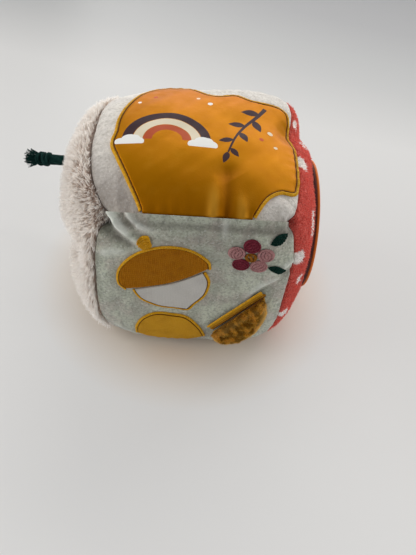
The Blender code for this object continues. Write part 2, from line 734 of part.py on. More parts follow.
clear_scene()
cream_velour = material("cream_velour", (0.58, 0.54, 0.50), 0.9)
sage_velour = material("sage_velour", (0.36, 0.40, 0.35), 0.9)
coral_terry = material("coral_terry", (0.58, 0.10, 0.07), 0.95)
cream_plush = material("cream_plush", (0.64, 0.58, 0.52), 0.95)
mustard_leather = material("mustard_leather", (0.68, 0.28, 0.02), 0.45)
yellow_thread = material("yellow_thread", (0.50, 0.24, 0.02), 0.6)
brown_rib = material("brown_rib", (0.30, 0.10, 0.01), 0.9)
white_cloth = material("white_cloth", (0.62, 0.60, 0.58), 0.9)
mustard_cloth = material("mustard_cloth", (0.42, 0.19, 0.02), 0.85)
mustard_plush = material("mustard_plush", (0.34, 0.14, 0.01), 0.95)
dusty_pink = material("dusty_pink", (0.40, 0.20, 0.22), 0.8)
burgundy = material("burgundy", (0.18, 0.02, 0.05), 0.8)
ochre_thread = material("ochre_thread", (0.34, 0.14, 0.02), 0.8)
green_thread = material("green_thread", (0.01, 0.05, 0.04), 0.8)
green_yarn = material("green_yarn", (0.01, 0.04, 0.03), 0.95)
fibre = material("fibre", (0.80, 0.80, 0.78), 1.0)
mirror_silver = material("mirror_silver", (0.90, 0.90, 0.90), 0.05, 1.0)
grey_foam = material("grey_foam", (0.30, 0.28, 0.27), 0.9)
brown_felt = material("brown_felt", (0.10, 0.04, 0.03), 0.95)
clear_film = material("clear_film", (0.80, 0.80, 0.80), 0.3)
white_plastic = material("white_plastic", (0.75, 0.75, 0.72), 0.4)

panel("top", cream_velour)
panel("front", sage_velour)
panel("left", cream_plush)
panel("right", coral_terry)
panel("back", sage_velour)
panel("bottom", cream_velour)
core(fibre)
rattle(white_plastic, white_plastic, white_plastic)
patch(mustard_leather, yellow_thread)
acorn(brown_rib, white_cloth, yellow_thread)
smooth_leaf(mustard_cloth, yellow_thread)
flower([dusty_pink, burgundy], ochre_thread, green_thread)
flap(mustard_plush, mustard_cloth, clear_film, yellow_thread)
mirror(mustard_leather, mirror_silver, grey_foam, brown_felt)
pull_cord(green_yarn)
print("rest height", round(rest_height, 5), "mirror seat", round(mirror_seat, 5))
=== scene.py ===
# Soft fabric block: cloth, pile, stitching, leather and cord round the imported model.
# Metres, +Z up. Shares u and v run from -1 to 1 across each side of the block.
import math

import bmesh
import bpy
import numpy as np
from mathutils import Matrix, Vector, geometry


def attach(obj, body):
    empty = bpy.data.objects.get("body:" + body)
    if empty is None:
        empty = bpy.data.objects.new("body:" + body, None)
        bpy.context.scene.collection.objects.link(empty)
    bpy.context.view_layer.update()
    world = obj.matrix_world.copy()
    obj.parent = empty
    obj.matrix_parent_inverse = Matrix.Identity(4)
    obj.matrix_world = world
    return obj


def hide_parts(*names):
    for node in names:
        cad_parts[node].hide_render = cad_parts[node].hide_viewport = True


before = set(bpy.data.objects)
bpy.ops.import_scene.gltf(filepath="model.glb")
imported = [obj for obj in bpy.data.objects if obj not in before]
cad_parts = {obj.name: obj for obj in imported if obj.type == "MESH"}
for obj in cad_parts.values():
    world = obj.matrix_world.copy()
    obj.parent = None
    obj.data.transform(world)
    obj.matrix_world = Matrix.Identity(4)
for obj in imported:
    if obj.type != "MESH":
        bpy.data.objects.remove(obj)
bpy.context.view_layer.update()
print("frame loaded with", len(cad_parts), "nodes")


def tint(red, green, blue):
    # Screen values from 0 to 255 as Blender's linear colour
    linear = []
    for value in (red / 255, green / 255, blue / 255):
        linear.append(value / 12.92 if value <= 0.04045 else ((value + 0.055) / 1.055) ** 2.4)
    return (*linear, 1.0)


def addNode(tree, kind, settings=None, wires=None):
    # A node whose inputs take a plain value or another node's output
    made = tree.nodes.new(kind)
    for key, value in (settings or {}).items():
        setattr(made, key, value)
    for key, value in (wires or {}).items():
        if isinstance(value, bpy.types.NodeSocket):
            tree.links.new(value, made.inputs[key])
        else:
            made.inputs[key].default_value = value
    return made.outputs


# The block's stuffed shell, as its cloth was cut
shell = {
    "cornerReach": 0.0528, "edgeBulge": 0.0072, "seamRound": 3.3, "restCut": 0.0016,
    "mirrorSeatCut": 0.0075, "seamGap": 0.0003, "allowance": 0.0060, "clothThickness": 0.0015,
    "crown": {"top": 0.0180, "front": 0.0100, "left": 0.0325, "right": 0.0275, "back": 0.0120,
              "bottom": 0.0118},
    "dome": {"top": (2.2, 0.85), "front": (3.0, 0.6), "left": (1.8, 0.6), "right": (2.2, 0.75),
             "back": (2.5, 0.8), "bottom": (2.0, 1.0)},
    "stuffing": {(-1, -1, -1): -0.013, (-1, -1, 1): -0.026, (-1, 1, -1): -0.008, (-1, 1, 1): 0.012,
                 (1, -1, -1): 0.009, (1, -1, 1): 0.026, (1, 1, -1): 0.020, (1, 1, 1): 0.101,
                 (0, 1, 1): -0.046, (-1, 0, 1): 0.052, (1, 0, 1): -0.050, (1, -1, 0): -0.026,
                 (0, -1, -1): -0.035},
    # Dents of slack filling: from, to, reach and depth; the sharp ones lie in the others
    "slack": [((-0.0835, 0.0015, -0.0130), (-0.0771, -0.0465, 0.0108), 0.0135, 0.0050),
              ((0.0562, 0.0144, 0.0656), (0.0731, 0.0468, 0.0334), 0.0150, 0.0030)],
    "sharpSlack": [((-0.0835, 0.0015, -0.0130), (-0.0771, -0.0465, 0.0108), 0.0085, 0.0030),
                   ((0.0562, 0.0144, 0.0656), (0.0731, 0.0468, 0.0334), 0.0080, 0.0035),
                   ((-0.0540, -0.0535, 0.0505), (-0.0500, -0.0540, 0.0490), 0.0042, 0.0052),
                   ((0.0528, -0.0528, 0.0528), (0.0526, -0.0526, 0.0528), 0.0038, 0.0040),
                   ((-0.0640, -0.0080, 0.0500), (-0.0640, -0.0300, 0.0500), 0.0105, -0.0032)],
    "hem": {"over": 0.0013, "height": 0.0016, "width": 0.0017, "starts": 0.965, "reach": 0.035},
    "pucker": {"pitch": 0.0083, "height": 0.00018, "reach": 0.0024},
    "axes": {"top": ((0, 0, 1), (1, 0, 0), (0, 1, 0)), "front": ((0, -1, 0), (1, 0, 0), (0, 0, 1)),
             "left": ((-1, 0, 0), (0, -1, 0), (0, 0, 1)), "right": ((1, 0, 0), (0, 1, 0),
                                                                    (0, 0, 1)),
             "back": ((0, 1, 0), (-1, 0, 0), (0, 0, 1)),
             "bottom": ((0, 0, -1), (1, 0, 0), (0, -1, 0))},
    "pile": {"left": 0.0075, "right": 0.0008}, "pileSunk": 0.86,
    # Soft waves of the stuffed cloth: their length, height and seed
    "waves": ((0.026, 0.00030, 5), (0.011, 0.00010, 9)),
}
seamReach = shell["cornerReach"] + shell["edgeBulge"]

# How far each side rolls into its seams, at u = 1, u = -1, v = 1 and v = -1
seamRoll = {
    "top": (0.0020, 0.0024, 0.0017, 0.0006), "front": (0.0018, 0.0020, 0.0001, 0.0017),
    "left": (0.0020, 0.0020, 0.0022, 0.0017), "right": (0.0017, 0.0018, 0.0017, 0.0017),
    "back": (0.0018,) * 4, "bottom": (0.0017,) * 4,
}

# Folds of the stuffed cloth: start, end, width and height, the last two in millimetres
folds = {
    "top": [((0.15, -1.0), (0.15, -0.64), 3.2, 1.2), ((0.45, -1.0), (0.39, -0.78), 3.2, 1.0),
            ((0.30, -1.0), (0.28, -0.52), 3.4, -1.5), ((0.28, -0.53), (0.34, -0.60), 8.0, -1.2),
            ((-0.80, -1.0), (-0.76, -0.55), 2.6, 0.5), ((-0.69, -0.98), (-0.70, -0.72), 2.2, -0.5),
            ((0.85, -0.86), (0.89, -0.80), 7.0, 3.0), ((0.86, -1.0), (0.86, -0.90), 1.6, -0.9)],
    "front": [((-0.93, 1.0), (-0.51, 0.68), 2.4, 3.0), ((-0.98, 0.90), (-0.58, 0.62), 3.8, -3.2),
              ((-0.77, 1.0), (-0.60, 0.86), 1.7, -1.9), ((-0.73, 1.0), (-0.57, 0.90), 1.8, 1.7),
              ((-0.57, 0.90), (-0.42, 0.85), 1.8, 1.5), ((-0.62, 0.80), (-0.40, 0.76), 2.6, -1.6),
              ((-0.88, 0.55), (-0.55, 0.62), 3.4, 1.2), ((0.29, 1.0), (0.29, 0.80), 2.0, 0.8),
              ((0.96, 0.57), (0.80, 0.37), 1.9, 1.5), ((0.86, 0.30), (0.72, 0.18), 1.8, 1.6),
              ((0.72, 0.18), (0.58, -0.05), 1.8, 1.4), ((0.80, 0.12), (0.66, -0.06), 3.0, -1.3),
              ((0.97, 0.42), (0.84, 0.24), 2.6, -1.2), ((-0.80, -0.75), (-0.60, -0.98), 2.4, 0.9),
              ((0.85, -0.35), (0.97, -0.55), 2.6, 0.6)],
    "left": [((-0.35, 0.10), (-0.10, 0.45), 9.0, -1.0), ((0.45, 0.40), (0.60, 0.60), 12.0, 0.9)],
    "right": [((-0.95, 0.55), (-0.80, 0.35), 3.0, 0.7), ((-0.95, -0.35), (-0.82, -0.50), 3.0, -0.6),
              ((0.10, 0.97), (0.16, 0.80), 2.6, -0.7)],
    "back": [((-0.70, 1.0), (-0.62, 0.55), 2.6, 0.9), ((-0.20, 1.0), (-0.22, 0.66), 2.4, -0.8),
             ((0.35, 1.0), (0.32, 0.60), 2.6, 0.8), ((0.78, 0.20), (0.98, 0.30), 2.6, -0.8),
             ((-0.98, -0.30), (-0.66, -0.22), 2.6, 0.8), ((0.50, -1.0), (0.44, -0.66), 2.8, 0.9),
             ((-0.30, -1.0), (-0.26, -0.70), 2.6, -0.8), ((0.98, -0.50), (0.62, -0.42), 3.0, 0.8)],
    "bottom": [((-0.85, 0.90), (-0.70, 0.70), 2.4, 0.6), ((0.70, -0.95), (0.66, -0.75), 2.4, -0.6)],
}


def sideAxes(side):
    return [np.array(axis, float) for axis in shell["axes"][side]]


def stuffingPull(points, dents):
    along = np.clip(points / shell["cornerReach"], -1.3, 1.3)
    pull = np.zeros(len(points))
    for start, end, reach, deepest in dents:
        start, run = np.array(start), np.array(end) - start
        share = np.clip((points - start) @ run / (run @ run), 0, 1)
        away = np.linalg.norm(points - start - share[:, None] * run, axis=1)
        pull -= deepest * np.exp(-(away / reach) ** 2) / np.linalg.norm(points, axis=1)
    for corner, share in shell["stuffing"].items():
        weight = np.full(len(points), share)
        for axis, sign in enumerate(corner):
            t = along[:, axis]
            weight *= (1 + sign * t) / 2 if sign else np.maximum(0, 1 - t * t)
        pull += weight
    return pull


def fullPoints(side, u, v, dents=shell["slack"]):
    # The stuffed shell before anything presses it flat, from the middle of the block
    out, across, up = sideAxes(side)
    dome, square = shell["dome"][side]
    reach, bulge, crown = shell["cornerReach"], shell["edgeBulge"], shell["crown"][side]
    uFall = np.maximum(0, 1 - np.abs(u) ** shell["seamRound"])
    vFall = np.maximum(0, 1 - np.abs(v) ** shell["seamRound"])
    rise = np.maximum(0, (1 - np.abs(u) ** dome) * (1 - np.abs(v) ** dome)) ** square
    high = reach + bulge * (vFall * u * u + uFall * v * v) + crown * rise
    points = high[:, None] * out + (u * (reach + bulge * vFall))[:, None] * across
    points = points + (v * (reach + bulge * uFall))[:, None] * up
    return points * (1 + stuffingPull(points, dents))[:, None]


def fullReach(side, spreadU=None, spreadV=None):
    shares = np.linspace(-1, 1, 17)
    u, v = np.meshgrid(shares if spreadU is None else spreadU,
                       shares if spreadV is None else spreadV)
    return float((fullPoints(side, u.ravel(), v.ravel()) @ sideAxes(side)[0]).max())


restHeight = fullReach("bottom") - shell["restCut"]
mirrorSeat = fullReach("right") - shell["mirrorSeatCut"]
flatReach = {"bottom": restHeight, "right": mirrorSeat}
blockMiddle = np.array((0.0, 0.0, restHeight))


def foldLift(side, u, v):
    lift = np.zeros(len(u))
    for (startU, startV), (endU, endV), width, height in folds[side]:
        runU, runV = endU - startU, endV - startV
        along = np.clip(((u - startU) * runU + (v - startV) * runV) / (runU ** 2 + runV ** 2), 0, 1)
        away = np.hypot(u - startU - along * runU, v - startV - along * runV) * seamReach * 1000
        lift += height / 1000 * np.exp(-(away / width) ** 2) * (1 - 0.7 * along ** 2)
    return lift


def softWaves(points, size, seed):
    # Smooth waves through space, about -1 to 1
    source = np.random.default_rng(seed)
    total = np.zeros(len(points))
    for _ in range(6):
        way = source.normal(size=3)
        way *= 2 * math.pi / (size * source.uniform(0.7, 1.5) * np.linalg.norm(way))
        total += np.sin(points @ way + source.uniform(0, 2 * math.pi))
    return total / 3


def seamDip(side, u, v):
    dip = np.zeros(len(u))
    for share, roll in zip((u, -u, v, -v), seamRoll[side]):
        inside = np.clip((1 - share) * seamReach, 0, roll)
        dip = np.maximum(dip, roll - np.sqrt(np.maximum(0, roll ** 2 - (roll - inside) ** 2)))
    return dip


def hollowShare(side, u, v):
    # How deep a point lies in a crease or a pit, 0 to 1, which sets the painted shade there
    points = fullPoints(side, u, v)
    pits = stuffingPull(points, shell["sharpSlack"][2:4]) - stuffingPull(points, [])
    pits = -pits * np.linalg.norm(points, axis=1) / 0.0030
    return np.clip(np.clip(-foldLift(side, u, v) / 0.0022, 0, 1) + pits, 0, 1)


def puckers(u, v):
    # Small gathers along the seams
    look, rise = shell["pucker"], np.zeros(len(u))
    for inwards, along in ((1 - np.abs(u), v), (1 - np.abs(v), u)):
        near = inwards * seamReach / look["reach"]
        turn = along * seamReach / look["pitch"] * 2 * math.pi + 1.3 * np.sin(along * 9 + 2)
        rise += look["height"] * near * np.exp(1 - near) * np.sin(turn)
    return rise


def shellPoints(side, u, v, lift=0.0, worn=True):
    # Points of a side, lifted out along the line from the middle of the block
    hem = shell["hem"]
    points = fullPoints(side, u, v, shell["slack"] + shell["sharpSlack"])
    if side in flatReach:
        points = points * np.minimum(1, flatReach[side] / (points @ sideAxes(side)[0]))[:, None]
    raised = np.zeros(len(u)) + lift
    if worn:
        middle = 1 - np.maximum(np.abs(u), np.abs(v)) ** 6
        waves = sum(softWaves(points, size, seed) * high for size, high, seed in shell["waves"])
        rest = 0.0 if side == "bottom" else 1.0
        raised = raised + foldLift(side, u, v) + (waves * middle + puckers(u, v)) * rest
        raised -= seamDip(side, u, v)
        if side == "front":
            ridge = (1 - v) * seamReach / hem["width"]
            raised += hem["height"] * np.exp(-ridge ** 2)
    points = points * (1 + raised / np.linalg.norm(points, axis=1))[:, None]
    if worn and side == "front":
        # The front's hem laps over the top's edge
        over = hem["over"] * np.clip((v - hem["starts"]) / hem["reach"], 0, 1) ** 2
        points = points + over[:, None] * np.array((0, 0.7, 0.7))
    return blockMiddle + points


def onSide(side, uv, lift=0.0):
    uv = np.asarray(uv, float)
    return shellPoints(side, uv[:, 0], uv[:, 1], lift)


def sideNormals(side, uv):
    uv, step = np.asarray(uv, float), 0.006
    overU = onSide(side, uv + (step, 0)) - onSide(side, uv - (step, 0))
    overV = onSide(side, uv + (0, step)) - onSide(side, uv - (0, step))
    normals = np.cross(overU, overV)
    return normals / np.linalg.norm(normals, axis=1)[:, None]


def smoothLine(points, steps=10, closed=False):
    # Samples of a smooth curve through points, the last one too where it is open
    points = np.asarray(points, float)
    count, line = len(points), []
    for k in range(count if closed else count - 1):
        if closed:
            before, start, end, after = (points[(k + i) % count] for i in (-1, 0, 1, 2))
        else:
            before, start = points[max(k - 1, 0)], points[k]
            end, after = points[k + 1], points[min(k + 2, count - 1)]
        for t in np.arange(steps) / steps:
            line.append(0.5 * (2 * start + (end - before) * t
                               + (2 * before - 5 * start + 4 * end - after) * t ** 2
                               + (3 * start - before - 3 * end + after) * t ** 3))
    if not closed:
        line.append(points[-1])
    return np.array(line)


def lineRun(points):
    # Unit vectors along an open line
    before = np.concatenate((points[:1], points[:-1]))
    run = np.concatenate((points[1:], points[-1:])) - before
    return run / np.maximum(np.linalg.norm(run, axis=1), 1e-12)[:, None]


def runNormals(line):
    # To the right of the line's run
    run = lineRun(line)
    return np.stack((run[:, 1], -run[:, 0]), 1)


def offsetLine(line, distance):
    return line + runNormals(line) * distance / seamReach


def inside(points, outline):
    # Which points lie in a closed outline
    hit = np.zeros(len(points), bool)
    x, y = points[:, 0], points[:, 1]
    for (x0, y0), (x1, y1) in zip(outline, np.roll(outline, -1, 0)):
        crosses = (y0 > y) != (y1 > y)
        if y1 != y0:
            hit ^= crosses & (x < x0 + (y - y0) * (x1 - x0) / (y1 - y0))
    return hit


def awayFrom(points, line):
    # Distance of each point from a closed line
    nearest = np.full(len(points), np.inf)
    for start, end in zip(line, np.roll(line, -1, 0)):
        run = end - start
        size = max(float(run @ run), 1e-16)
        along = np.clip((points - start) @ run / size, 0, 1)
        nearest = np.minimum(nearest, np.linalg.norm(points - start - along[:, None] * run, axis=1))
    return nearest


def fillOutline(outline, spacing, shapes=()):
    # Triangles inside an outline, split along the shapes in it, with the last shape each is in
    loops = [np.asarray(outline, float), *[np.asarray(s, float) for s in shapes]]
    low, high = loops[0].min(0), loops[0].max(0)
    columns = np.arange(low[0], high[0] + spacing, spacing)
    rows = np.arange(low[1], high[1] + spacing, spacing * 0.87)
    grid = np.array([(x + spacing / 2 * (j % 2), y) for j, y in enumerate(rows) for x in columns])
    grid = grid[inside(grid, loops[0])]
    for loop in loops:
        grid = grid[awayFrom(grid, loop) > spacing * 0.45]
    points, faces = [], []
    for loop in loops:
        faces.append(list(range(len(points), len(points) + len(loop))))
        points.extend(loop)
    points.extend(grid)
    made = geometry.delaunay_2d_cdt([Vector(p) for p in points], [], faces, 1, 1e-8)
    flat = np.array([tuple(p) for p in made[0]])
    triangles = np.array(made[2])
    a, b, c = (flat[triangles[:, k]] for k in range(3))
    turned = np.cross(b - a, c - a) < 0
    triangles[turned] = triangles[turned][:, ::-1]
    return flat, triangles, np.array([max(owners) if owners else 0 for owners in made[5]])


def rimEdges(triangles):
    # Edges that one triangle uses, in its own direction
    edges = np.concatenate([triangles[:, (0, 1)], triangles[:, (1, 2)], triangles[:, (2, 0)]])
    count = edges.max() + 1
    keys, back = edges[:, 0] * count + edges[:, 1], edges[:, 1] * count + edges[:, 0]
    return edges[~np.isin(keys, back)]


def closedPlate(top, bottom, triangles):
    # Vertices and faces of a plate from its two sides and their shared triangles
    size = len(top)
    rim = rimEdges(triangles)
    walls = np.stack((rim[:, 0], rim[:, 0] + size, rim[:, 1] + size, rim[:, 1]), 1)
    faces = [*triangles.tolist(), *(triangles[:, ::-1] + size).tolist(), *walls.tolist()]
    return np.concatenate((top, bottom)), faces


def addAttribute(mesh, name, kind, values):
    made = mesh.attributes.new(name, kind, "POINT")
    made.data.foreach_set("vector" if kind == "FLOAT_VECTOR" else "value", np.ravel(values))


def newMesh(name, verts, faces, uv=None, picks=None, edges=()):
    mesh = bpy.data.meshes.new(name)
    mesh.from_pydata(np.asarray(verts).tolist(), edges, faces)
    if uv is not None:
        corner = np.zeros(len(mesh.loops), int)
        mesh.loops.foreach_get("vertex_index", corner)
        mesh.uv_layers.new(name="UVMap").data.foreach_set("uv", np.asarray(uv)[corner].ravel())
    if picks is not None:
        mesh.polygons.foreach_set("material_index", picks)
    mesh.shade_smooth()
    return mesh


def flatPlaces(mesh):
    # Each vertex's place in the UV map
    corner, uv = np.zeros(len(mesh.loops), int), np.zeros(len(mesh.loops) * 2)
    mesh.loops.foreach_get("vertex_index", corner)
    mesh.uv_layers[0].data.foreach_get("uv", uv)
    places = np.zeros((len(mesh.vertices), 2))
    places[corner] = uv.reshape(-1, 2)
    return places


def newObject(name, mesh):
    made = bpy.data.objects.new(name, mesh)
    bpy.context.collection.objects.link(made)
    return made


def finishPiece(name, mesh, materials, nodes=(), body="block"):
    # Puts a finished mesh on its body, in place of the nodes that it stands for
    picks = np.zeros(len(mesh.polygons), int)
    mesh.polygons.foreach_get("material_index", picks)
    mesh.materials.clear()
    for material in materials:
        mesh.materials.append(material)
    mesh.polygons.foreach_set("material_index", picks)
    made = newObject(name, mesh)
    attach(made, body)
    if nodes:
        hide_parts(*nodes)
    return made


def layCut(piece):
    # Reads the face areas of a cut piece of cloth; nothing is done with them
    areas = np.zeros(len(piece.data.polygons))
    piece.data.polygons.foreach_get("area", areas)


# Node trees that repeat strands, stitches and tubes
def newTree(name, inputs):
    tree = bpy.data.node_groups.new(name, "GeometryNodeTree")
    for label, kind in (("Geometry", "Geometry"), *inputs):
        tree.interface.new_socket(label, in_out="INPUT", socket_type="NodeSocket" + kind)
    tree.interface.new_socket("Geometry", in_out="OUTPUT", socket_type="NodeSocketGeometry")
    given = tree.nodes.new("NodeGroupInput").outputs
    return tree, given, tree.nodes.new("NodeGroupOutput").inputs["Geometry"]


def endTree(tree, grown, material, result):
    real = addNode(tree, "GeometryNodeRealizeInstances", {}, {"Geometry": grown})["Geometry"]
    dyed = addNode(tree, "GeometryNodeSetMaterial", {}, {"Geometry": real, "Material": material})
    smooth = addNode(tree, "GeometryNodeSetShadeSmooth", {}, {"Geometry": dyed["Geometry"]})
    tree.links.new(smooth["Geometry"], result)
    return tree


def named(tree, name, kind):
    reader = addNode(tree, "GeometryNodeInputNamedAttribute", {"data_type": kind}, {"Name": name})
    return reader["Attribute"]


def maths(tree, operation, first, second):
    return addNode(tree, "ShaderNodeMath", {"operation": operation}, {0: first, 1: second})[0]


def vectors(tree, operation, first, second):
    key = "Scale" if operation == "SCALE" else 1
    made = addNode(tree, "ShaderNodeVectorMath", {"operation": operation}, {0: first, key: second})
    return made["Vector"]


def randomValue(tree, low, high, seed):
    return addNode(tree, "FunctionNodeRandomValue", {"data_type": "FLOAT"},
                   {2: low, 3: high, "Seed": seed})[1]


def turnedBy(tree, turn, angle):
    # A rotation with a turn about its own Z
    spin = addNode(tree, "ShaderNodeCombineXYZ", {}, {"Z": angle})["Vector"]
    spin = addNode(tree, "FunctionNodeEulerToRotation", {}, {"Euler": spin})["Rotation"]
    return addNode(tree, "FunctionNodeRotateRotation", {"rotation_space": "LOCAL"},
                   {"Rotation": turn, "Rotate By": spin})["Rotation"]


def placedShapes(tree, points, helper, turn, size):
    # A helper shape on every point, with its three sizes
    shape = addNode(tree, "GeometryNodeObjectInfo", {}, {"Object": helper})["Geometry"]
    scale = addNode(tree, "ShaderNodeCombineXYZ", {}, dict(zip("XYZ", size)))["Vector"]
    wires = {"Points": points, "Instance": shape, "Rotation": turn, "Scale": scale}
    return addNode(tree, "GeometryNodeInstanceOnPoints", {}, wires)["Instances"]


def withTone(tree, points, seed):
    # Every strand or stitch keeps a random tone for its material
    tone = randomValue(tree, 0.0, 1.0, seed)
    return addNode(tree, "GeometryNodeStoreNamedAttribute",
                   {"data_type": "FLOAT", "domain": "POINT"},
                   {"Geometry": points, "Name": "strandTone", "Value": tone})["Geometry"]


def makePileTree():
    tree, given, result = newTree("pile", (
        ("Density", "Float"), ("Strand Length", "Float"), ("Strand Width", "Float"),
        ("Length Spread", "Float"), ("Lean", "Float"), ("Clumps per Metre", "Float"),
        ("Jitter", "Float"), ("Seed", "Int"), ("Strand", "Object"), ("Material", "Material")))
    density = maths(tree, "MULTIPLY", given["Density"], named(tree, "pileShare", "FLOAT"))
    points = addNode(tree, "GeometryNodeDistributePointsOnFaces", {"distribute_method": "RANDOM"},
                     {"Mesh": given["Geometry"], "Density": density,
                      "Seed": given["Seed"]})["Points"]
    points = withTone(tree, points, given["Seed"])
    clumps = addNode(tree, "ShaderNodeTexNoise", {},
                     {"Scale": given["Clumps per Metre"], "Detail": 1.5})
    lean = vectors(tree, "SCALE", vectors(tree, "SUBTRACT", clumps["Color"], (0.5, 0.5, 0.5)),
                   given["Lean"])
    loose = addNode(tree, "FunctionNodeRandomValue", {"data_type": "FLOAT_VECTOR"},
                    {0: (-1, -1, -1), 1: (1, 1, 1),
                     "Seed": maths(tree, "ADD", given["Seed"], 3.0)})[0]
    way = vectors(tree, "ADD", named(tree, "comb", "FLOAT_VECTOR"), lean)
    way = vectors(tree, "ADD", way, vectors(tree, "SCALE", loose, given["Jitter"]))
    turn = addNode(tree, "FunctionNodeAlignRotationToVector", {"axis": "Z"},
                   {"Vector": way})["Rotation"]
    turn = turnedBy(tree, turn, randomValue(tree, 0.0, 6.283, 7))
    shortest = maths(tree, "SUBTRACT", 1.0, given["Length Spread"])
    length = maths(tree, "MULTIPLY", given["Strand Length"], randomValue(tree, shortest, 1.0, 11))
    length = maths(tree, "MULTIPLY", length, named(tree, "pileLength", "FLOAT"))
    wide = given["Strand Width"]
    grown = placedShapes(tree, points, given["Strand"], turn, (wide, wide, length))
    return endTree(tree, grown, given["Material"], result)


def makeStitchTree():
    tree, given, result = newTree("stitches", (
        ("Spacing", "Float"), ("Stitch Length", "Float"), ("Stitch Width", "Float"),
        ("Stitch Height", "Float"), ("Slant", "Float"), ("Jitter", "Float"), ("Seed", "Int"),
        ("Stitch", "Object"), ("Material", "Material")))
    curve = addNode(tree, "GeometryNodeMeshToCurve", {}, {"Mesh": given["Geometry"]})["Curve"]
    curve = addNode(tree, "GeometryNodeResampleCurve", {"mode": "LENGTH"},
                    {"Curve": curve, "Length": given["Spacing"]})["Curve"]
    curve = withTone(tree, curve, given["Seed"])
    turn = addNode(tree, "FunctionNodeAxesToRotation", {"primary_axis": "Z", "secondary_axis": "X"},
                   {"Primary Axis": named(tree, "up", "FLOAT_VECTOR"),
                    "Secondary Axis": named(tree, "across", "FLOAT_VECTOR")})["Rotation"]
    loose = maths(tree, "MULTIPLY", randomValue(tree, -1.0, 1.0, 5), given["Jitter"])
    turn = turnedBy(tree, turn, maths(tree, "ADD", loose, given["Slant"]))
    uneven = maths(tree, "MULTIPLY", given["Stitch Length"], randomValue(tree, 0.93, 1.05, 13))
    high = maths(tree, "MULTIPLY", given["Stitch Height"], randomValue(tree, 0.85, 1.1, 17))
    size = (uneven, given["Stitch Width"], high)
    grown = placedShapes(tree, curve, given["Stitch"], turn, size)
    return endTree(tree, grown, given["Material"], result)


def makeTubeTree():
    tree, given, result = newTree("tubes", (("Tube Radius", "Float"), ("Sides", "Int"),
                                            ("Material", "Material")))
    curve = addNode(tree, "GeometryNodeMeshToCurve", {}, {"Mesh": given["Geometry"]})["Curve"]
    ring = addNode(tree, "GeometryNodeCurvePrimitiveCircle", {"mode": "RADIUS"},
                   {"Resolution": given["Sides"], "Radius": given["Tube Radius"]})["Curve"]
    grown = addNode(tree, "GeometryNodeCurveToMesh", {},
                    {"Curve": curve, "Profile Curve": ring, "Fill Caps": True,
                     "Scale": named(tree, "thickness", "FLOAT")})["Mesh"]
    return endTree(tree, grown, given["Material"], result)


def growMesh(name, tree, base, values):
    # The plain mesh that a tree grows on a base mesh
    carrier = newObject(name + "_base", base)
    grower = carrier.modifiers.new("grow", "NODES")
    grower.node_group = tree
    for socket in tree.interface.items_tree:
        if socket.item_type == "SOCKET" and socket.in_out == "INPUT" and socket.name in values:
            grower[socket.identifier] = values[socket.name]
    graph = bpy.context.evaluated_depsgraph_get()
    mesh = bpy.data.meshes.new_from_object(carrier.evaluated_get(graph), depsgraph=graph)
    mesh.name = name
    carrier.modifiers.remove(grower)
    bpy.data.objects.remove(carrier, do_unlink=True)
    return mesh


def helperShape(name, verts, faces, tips=None):
    # A small shape that a tree repeats
    bm = bmesh.new()
    made = [bm.verts.new(v) for v in verts]
    for face in faces:
        bm.faces.new([made[k] for k in face])
    bmesh.ops.recalc_face_normals(bm, faces=bm.faces)
    mesh = bpy.data.meshes.new(name)
    bm.to_mesh(mesh)
    bm.free()
    mesh.shade_smooth()
    if tips is not None:
        addAttribute(mesh, "tipShare", "FLOAT", tips)
    return newObject(name, mesh)


def stitchShape():
    # One thread over the cloth, 1 long, 1 wide and 1 high, its ends dipping in
    section = ((-0.5, 0.30), (-0.28, 0.88), (0.28, 0.88), (0.5, 0.30), (0.0, -0.10))
    stations = (-0.5, -0.36, 0.0, 0.36, 0.5)
    verts, faces, ring = [], [], len(section)
    for x in stations:
        rise = max(0.10, math.sqrt(1 - (2 * x) ** 2))
        verts += [(x, y * (0.75 + 0.25 * rise), z * rise) for y, z in section]
    for k in range(len(stations) - 1):
        for i in range(ring):
            j = (i + 1) % ring
            faces.append((k * ring + i, k * ring + j, (k + 1) * ring + j, (k + 1) * ring + i))
    faces += [tuple(range(ring)), tuple(range(len(verts) - ring, len(verts)))]
    return helperShape("stitch_shape", verts, faces)


def wispShape(name, blades, steps, bend, spread, seed):
    # A few flat tapered hairs from one root, 1 long and about 1 wide each
    source = np.random.default_rng(seed)
    verts, faces, tips = [], [], []
    for _ in range(blades):
        turn, lean = source.uniform(0, 2 * math.pi), source.uniform(0.2, 1) * bend
        root = source.normal(size=2) * spread
        side = np.array((math.cos(turn), math.sin(turn)))
        way = np.array((math.cos(turn + source.normal()), math.sin(turn + source.normal())))
        start = len(verts)
        for k in range(steps + 1):
            t = k / steps
            middle = root * (1 - 0.4 * t) + way * lean * t * t
            half = side * 0.5 * (1 - 0.72 * t ** 2)
            for edge in (middle - half, middle + half):
                verts.append((*edge, t * source.uniform(0.96, 1.0)))
                tips.append(t)
        faces += [(start + 2 * k, start + 2 * k + 1, start + 2 * k + 3, start + 2 * k + 2)
                  for k in range(steps)]
    return helperShape(name, verts, faces, tips)


pileTree, stitchTree, tubeTree = makePileTree(), makeStitchTree(), makeTubeTree()
stitch = stitchShape()


def lineBase(name, chains, **attributes):
    # Edge chains with values for each point, for a tree to follow
    verts, edges = np.concatenate(chains), []
    start = 0
    for chain in chains:
        edges += [(start + k, start + k + 1) for k in range(len(chain) - 1)]
        start += len(chain)
    mesh = newMesh(name, verts, [], edges=edges)
    for label, values in attributes.items():
        values = np.concatenate(values) if isinstance(values, list) else np.full(len(verts), values)
        kind = "FLOAT_VECTOR" if values.ndim == 2 else "FLOAT"
        addAttribute(mesh, label, kind, values)
    return mesh


def crossWays(points, normals):
    # Unit vectors across a line that lies on a surface, and along it
    along = lineRun(points)
    return np.cross(normals, along), along


